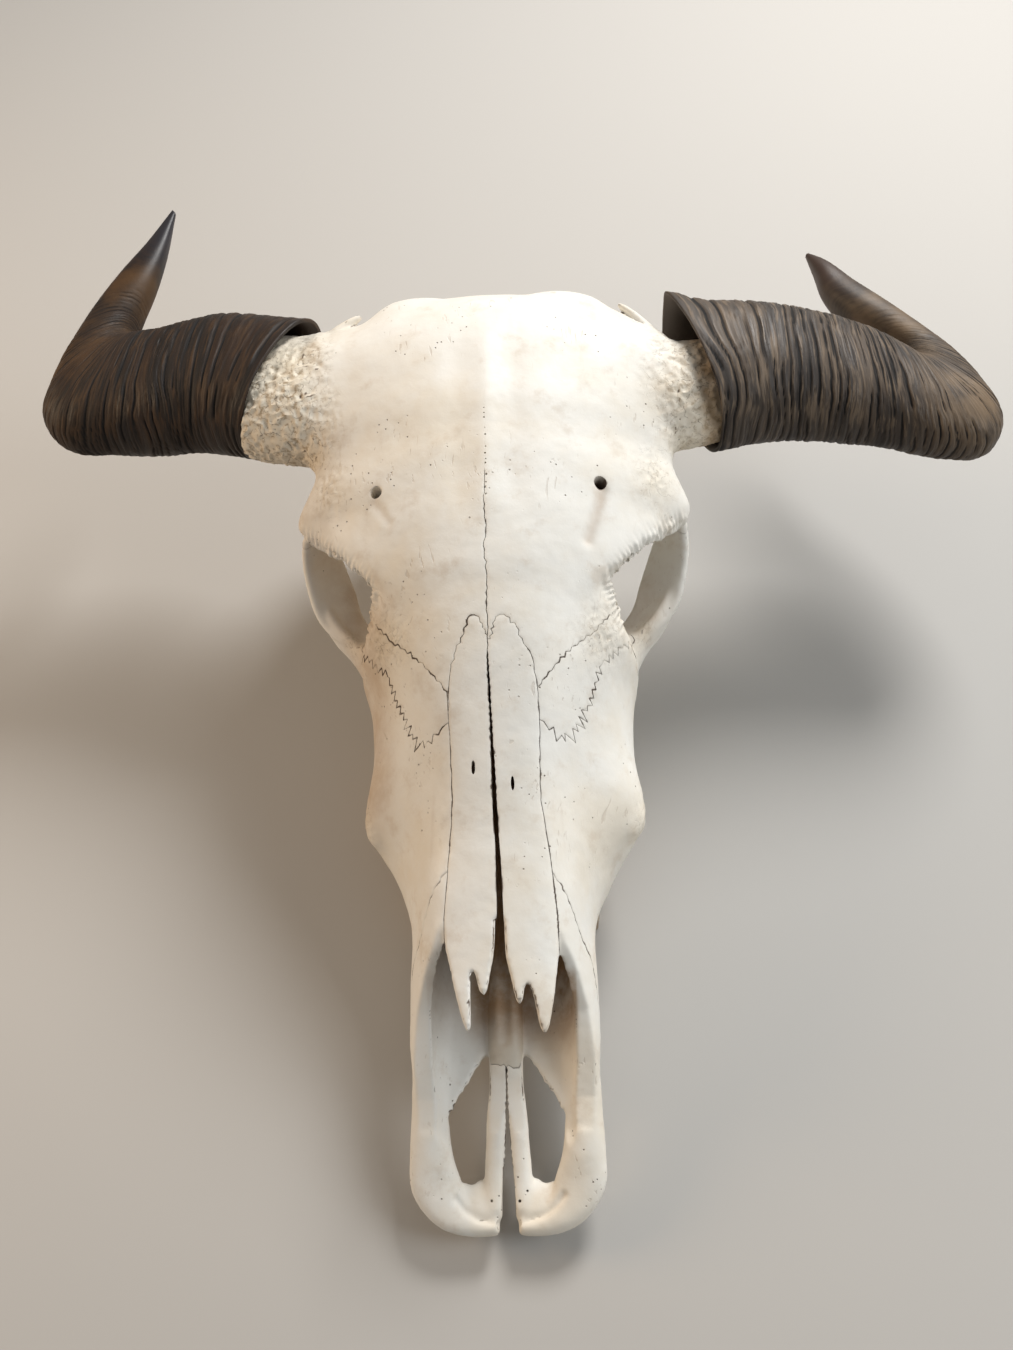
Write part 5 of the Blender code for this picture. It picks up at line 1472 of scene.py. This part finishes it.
def dry_bone(name, pale, warm, dark):
    """Old bone: cream with warmer clouds, brown seams, pores, short scratches and scribbled cracks."""
    material, place, seam, rough, stained_and_shaded = new_material(name, "seam", "rough", "stain_and_shade")
    clouds = place.noise(11.0, 5.0, 0.6)
    mottle = place.noise(55.0, 5.0, 0.65)
    speck = place.noise(420.0, 3.0, 0.6)
    patch = place.noise(24.0).between(0.50, 0.62)
    worms = place.noise(300.0, 4.0, 0.65)
    pores = place.node("TexVoronoi", {"Vector": place, "Scale": 190.0}, "Distance")
    pit = pores.between(0.12, 0.06) * patch
    sway = place.noise(18.0, output="Color")
    bent = place.node("VectorMath", {0: sway, 1: (0.03, 0.03, 0.03), 2: place}, operation="MULTIPLY_ADD")
    scratch = bent.stretched((1.0, 0.14, 1.0), (0.0, 0.0, 0.9)).noise(380.0).between(0.64, 0.70) * patch
    wander = place.noise(150.0, 1.0, 0.4) - 0.5
    scribble = wander.maths("ABSOLUTE", wander).between(0.016, 0.006) * rough * speck.between(0.44, 0.52)
    colour = clouds.between(0.40, 0.68).mixed(pale, warm)
    colour = (mottle.between(0.52, 0.74) * 0.30).mixed(colour, dark)
    # Stains, and painted shade in the hollows, furrows and right side, turn the bone brown
    colour = (stained_and_shaded * mottle.between(0.25, 0.60, 0.5, 1.0)).mixed(colour, STAINED_AND_SHADED_BONE)
    colour = (pit * 0.80).mixed(colour, PORE_BROWN)
    colour = (scratch * 0.22).mixed(colour, SCRATCH_BROWN)
    colour = (rough * 0.55).mixed(colour, CORAL_TAN)
    colour = (worms.between(0.50, 0.34) * rough * 0.70).mixed(colour, HOLLOW_BROWN)
    colour = (scribble * 0.60).mixed(colour, SCRIBBLE_BROWN)
    colour = (seam.between(0.12, 0.80) * 0.90).mixed(colour, SEAM_BROWN)
    relief = mottle * 0.30 + speck * 0.16 - pit * 1.2 - scratch * 0.25 + worms * rough * 1.3 - scribble * 0.8
    wire(material, {"Base Color": colour, "Roughness": mottle.between(0.3, 0.7, 0.44, 0.64),
                    "Specular IOR Level": 0.40, "Normal": relief.bump(0.65, 0.0008)})
    return material


def buffalo_horn(name, deep, body, ridge, bend, tip):
    """Horn: black in its cracks, partly with painted shade, dull on its rings, browner past its bend, painted
    darker on its underside as shade, and polished at its tip, where the dark horn's blue tint is a painted
    sheen.
    """
    marks = ("groove", "along", "run", "front", "top")
    material, place, groove, along, run, front, top = new_material(name, *marks)
    round_place = place.node("CombineXYZ", {"X": run, "Y": front * 0.35, "Z": top * 0.35})
    clouds = place.noise(22.0, 4.0, 0.55)
    threads = round_place.noise(5.5, 3.0, 0.6)
    bands = round_place.noise(1.3, 3.0, 0.6)
    grit = place.noise(700.0, 3.0, 0.6)
    ridged = along.between(0.74, 0.52)
    # below: the lower front of the horn, which is painted darker as painted shade
    below = front.between(0.25, 0.95) * top.between(0.55, -0.15) * ridged
    colour = bands.between(0.36, 0.64).mixed(deep, body)
    colour = (threads.between(0.48, 0.66) * ridged * 0.8).mixed(colour, ridge)
    colour = (along.between(0.26, 0.50) * clouds.between(0.38, 0.62) * 0.8).mixed(colour, bend)
    # black in the cracks and between the threads: partly painted shade in the grooves
    colour = (groove.between(0.22, 0.60) * 0.95).mixed(colour, CRACK_BLACK)
    colour = (threads.between(0.42, 0.32) * ridged * 0.5).mixed(colour, THREAD_BLACK)
    # painted shade on the horn's lower front
    colour = (below * 0.55).mixed(colour, deep)
    # the tip colour; in the dark horn its blue tint is a painted sheen
    colour = (along.between(0.80, 0.95) * 0.9).mixed(colour, tip)
    shine = groove.between(-0.3, 0.5, 0.44, 0.80) - along.between(0.70, 0.95) * 0.14
    relief = threads * ridged + grit * 0.16
    wire(material, {"Base Color": colour, "Roughness": shine + grit * 0.06, "Specular IOR Level": 0.45,
                    "Normal": relief.bump(0.75, 0.0008)})
    return material


def tooth_enamel(name):
    """Stained enamel, darker in the worn dishes."""
    material, place, worn = new_material(name, "worn")
    clouds = place.stretched((1.0, 1.0, 0.25)).noise(120.0, 4.0, 0.6)
    colour = clouds.between(0.35, 0.7).mixed(PALE_ENAMEL, STAINED_ENAMEL)
    colour = (worn * clouds.between(0.3, 0.6)).mixed(colour, DENTINE)
    wire(material, {"Base Color": colour, "Roughness": clouds.between(0.3, 0.7, 0.22, 0.42),
                    "Normal": clouds.bump(0.3, 0.0005)})
    return material


def dress(thing, material, slot, *nodes):
    """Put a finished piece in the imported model's place and give it its finish."""
    thing.data.transform(Matrix.Translation(SHIFT))
    thing.data.materials.clear()
    thing.data.materials.append(material)
    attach(thing, "root")
    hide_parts(*nodes)


def floor_and_light():
    """A pale floor, soft lights from above and from both sides, and a pale room."""
    bpy.ops.mesh.primitive_plane_add(size=8.0)
    floor = bpy.context.active_object
    floor.name = "studio_floor"
    material = bpy.data.materials.new("pale_floor")
    material.use_nodes = True
    wire(material, {"Base Color": FLOOR_COLOUR, "Roughness": 0.85})
    floor.data.materials.append(material)
    for name, place, size, power, colour in LIGHTS:
        light = bpy.data.lights.new(name, "AREA")
        light.shape = "DISK"
        light.size = size
        light.energy = power
        light.color = colour
        lamp = new_object(name, light)
        lamp.location = place
        lamp.rotation_euler = (Vector(LIT_PLACE) - Vector(place)).to_track_quat("-Z", "Y").to_euler()
    world = bpy.data.worlds.new("room")
    world.use_nodes = True
    back = world.node_tree.nodes["Background"]
    back.inputs["Color"].default_value = ROOM_COLOUR
    back.inputs["Strength"].default_value = ROOM_STRENGTH
    bpy.context.scene.world = world
    bpy.context.scene.view_settings.view_transform = "Standard"


def aim_camera():
    """The photograph's camera: where it stood over the skull, how it was turned, and its lens."""
    pitch, yaw, roll = (math.radians(angle) for angle in CAMERA_TURN)
    forward = Vector((-math.sin(yaw) * math.cos(pitch), math.cos(yaw) * math.cos(pitch), -math.sin(pitch)))
    level = Vector((math.cos(yaw), math.sin(yaw), 0.0))
    upward = level.cross(forward)
    right = level * math.cos(roll) + upward * math.sin(roll)
    up = upward * math.cos(roll) - level * math.sin(roll)
    lens = bpy.data.cameras.new("photo_view")
    lens.sensor_fit = "VERTICAL"
    lens.sensor_height = SENSOR_HEIGHT
    lens.lens = SENSOR_HEIGHT * FOCAL_PIXELS / PHOTO_HEIGHT
    lens.clip_start = 0.01
    camera = new_object("photo_view", lens)
    turn = Matrix((right, up, -forward)).transposed().to_4x4()
    camera.matrix_world = Matrix.Translation(Vector(CAMERA_PLACE) + SHIFT) @ turn
    bpy.context.scene.camera = camera


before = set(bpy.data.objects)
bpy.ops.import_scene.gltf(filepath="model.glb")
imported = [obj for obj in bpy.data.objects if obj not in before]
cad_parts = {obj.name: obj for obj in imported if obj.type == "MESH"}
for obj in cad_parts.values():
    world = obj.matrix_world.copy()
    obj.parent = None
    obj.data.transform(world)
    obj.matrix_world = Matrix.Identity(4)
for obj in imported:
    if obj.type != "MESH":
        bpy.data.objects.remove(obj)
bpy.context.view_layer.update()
occipital_low, occipital_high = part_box("occipital")
maxilla_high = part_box("maxilla_left")[1]
SHIFT = Vector((0.5 * (occipital_low[0] + occipital_high[0]), maxilla_high[1] - MAXILLA_REAR, 0.0))
skull = whole_skull()
work_surface(skull)
open_holes(skull)
bones = part_the_bones(skull)
fit_core(bones["horn_core_left"], LEFT_HORN)
fit_core(bones["horn_core_right"], RIGHT_HORN)
bone_finish = dry_bone("dry_bone", *PLAIN_BONE)
core_finish = dry_bone("rough_core_bone", *PLAIN_BONE)
nose_finish = dry_bone("grey_nose_bone", *NOSE_BONE)
slots = {"horn_core": ("core_bone", core_finish), "vomer": ("nose_bone", nose_finish)}
for node, bone in bones.items():
    bone.name = node + "_bone"
    finish_bone(bone)
    slot, material = slots.get(node.replace("_left", "").replace("_right", ""), ("bone", bone_finish))
    dress(bone, material, slot, node)
enamel = tooth_enamel("tooth_enamel")
for side in ("left", "right"):
    dress(teeth_of(side), enamel, "bone", "maxilla_" + side)
grey_horn = buffalo_horn("grey_brown_horn", *GREY_HORN)
dark_horn = buffalo_horn("dark_horn", *DARK_HORN)
dress(horn_sheath("left_horn", LEFT_HORN, 51), grey_horn, "horn", "horn_sheath_left")
dress(horn_sheath("right_horn", RIGHT_HORN, 71), dark_horn, "horn", "horn_sheath_right")
floor_and_light()
aim_camera()
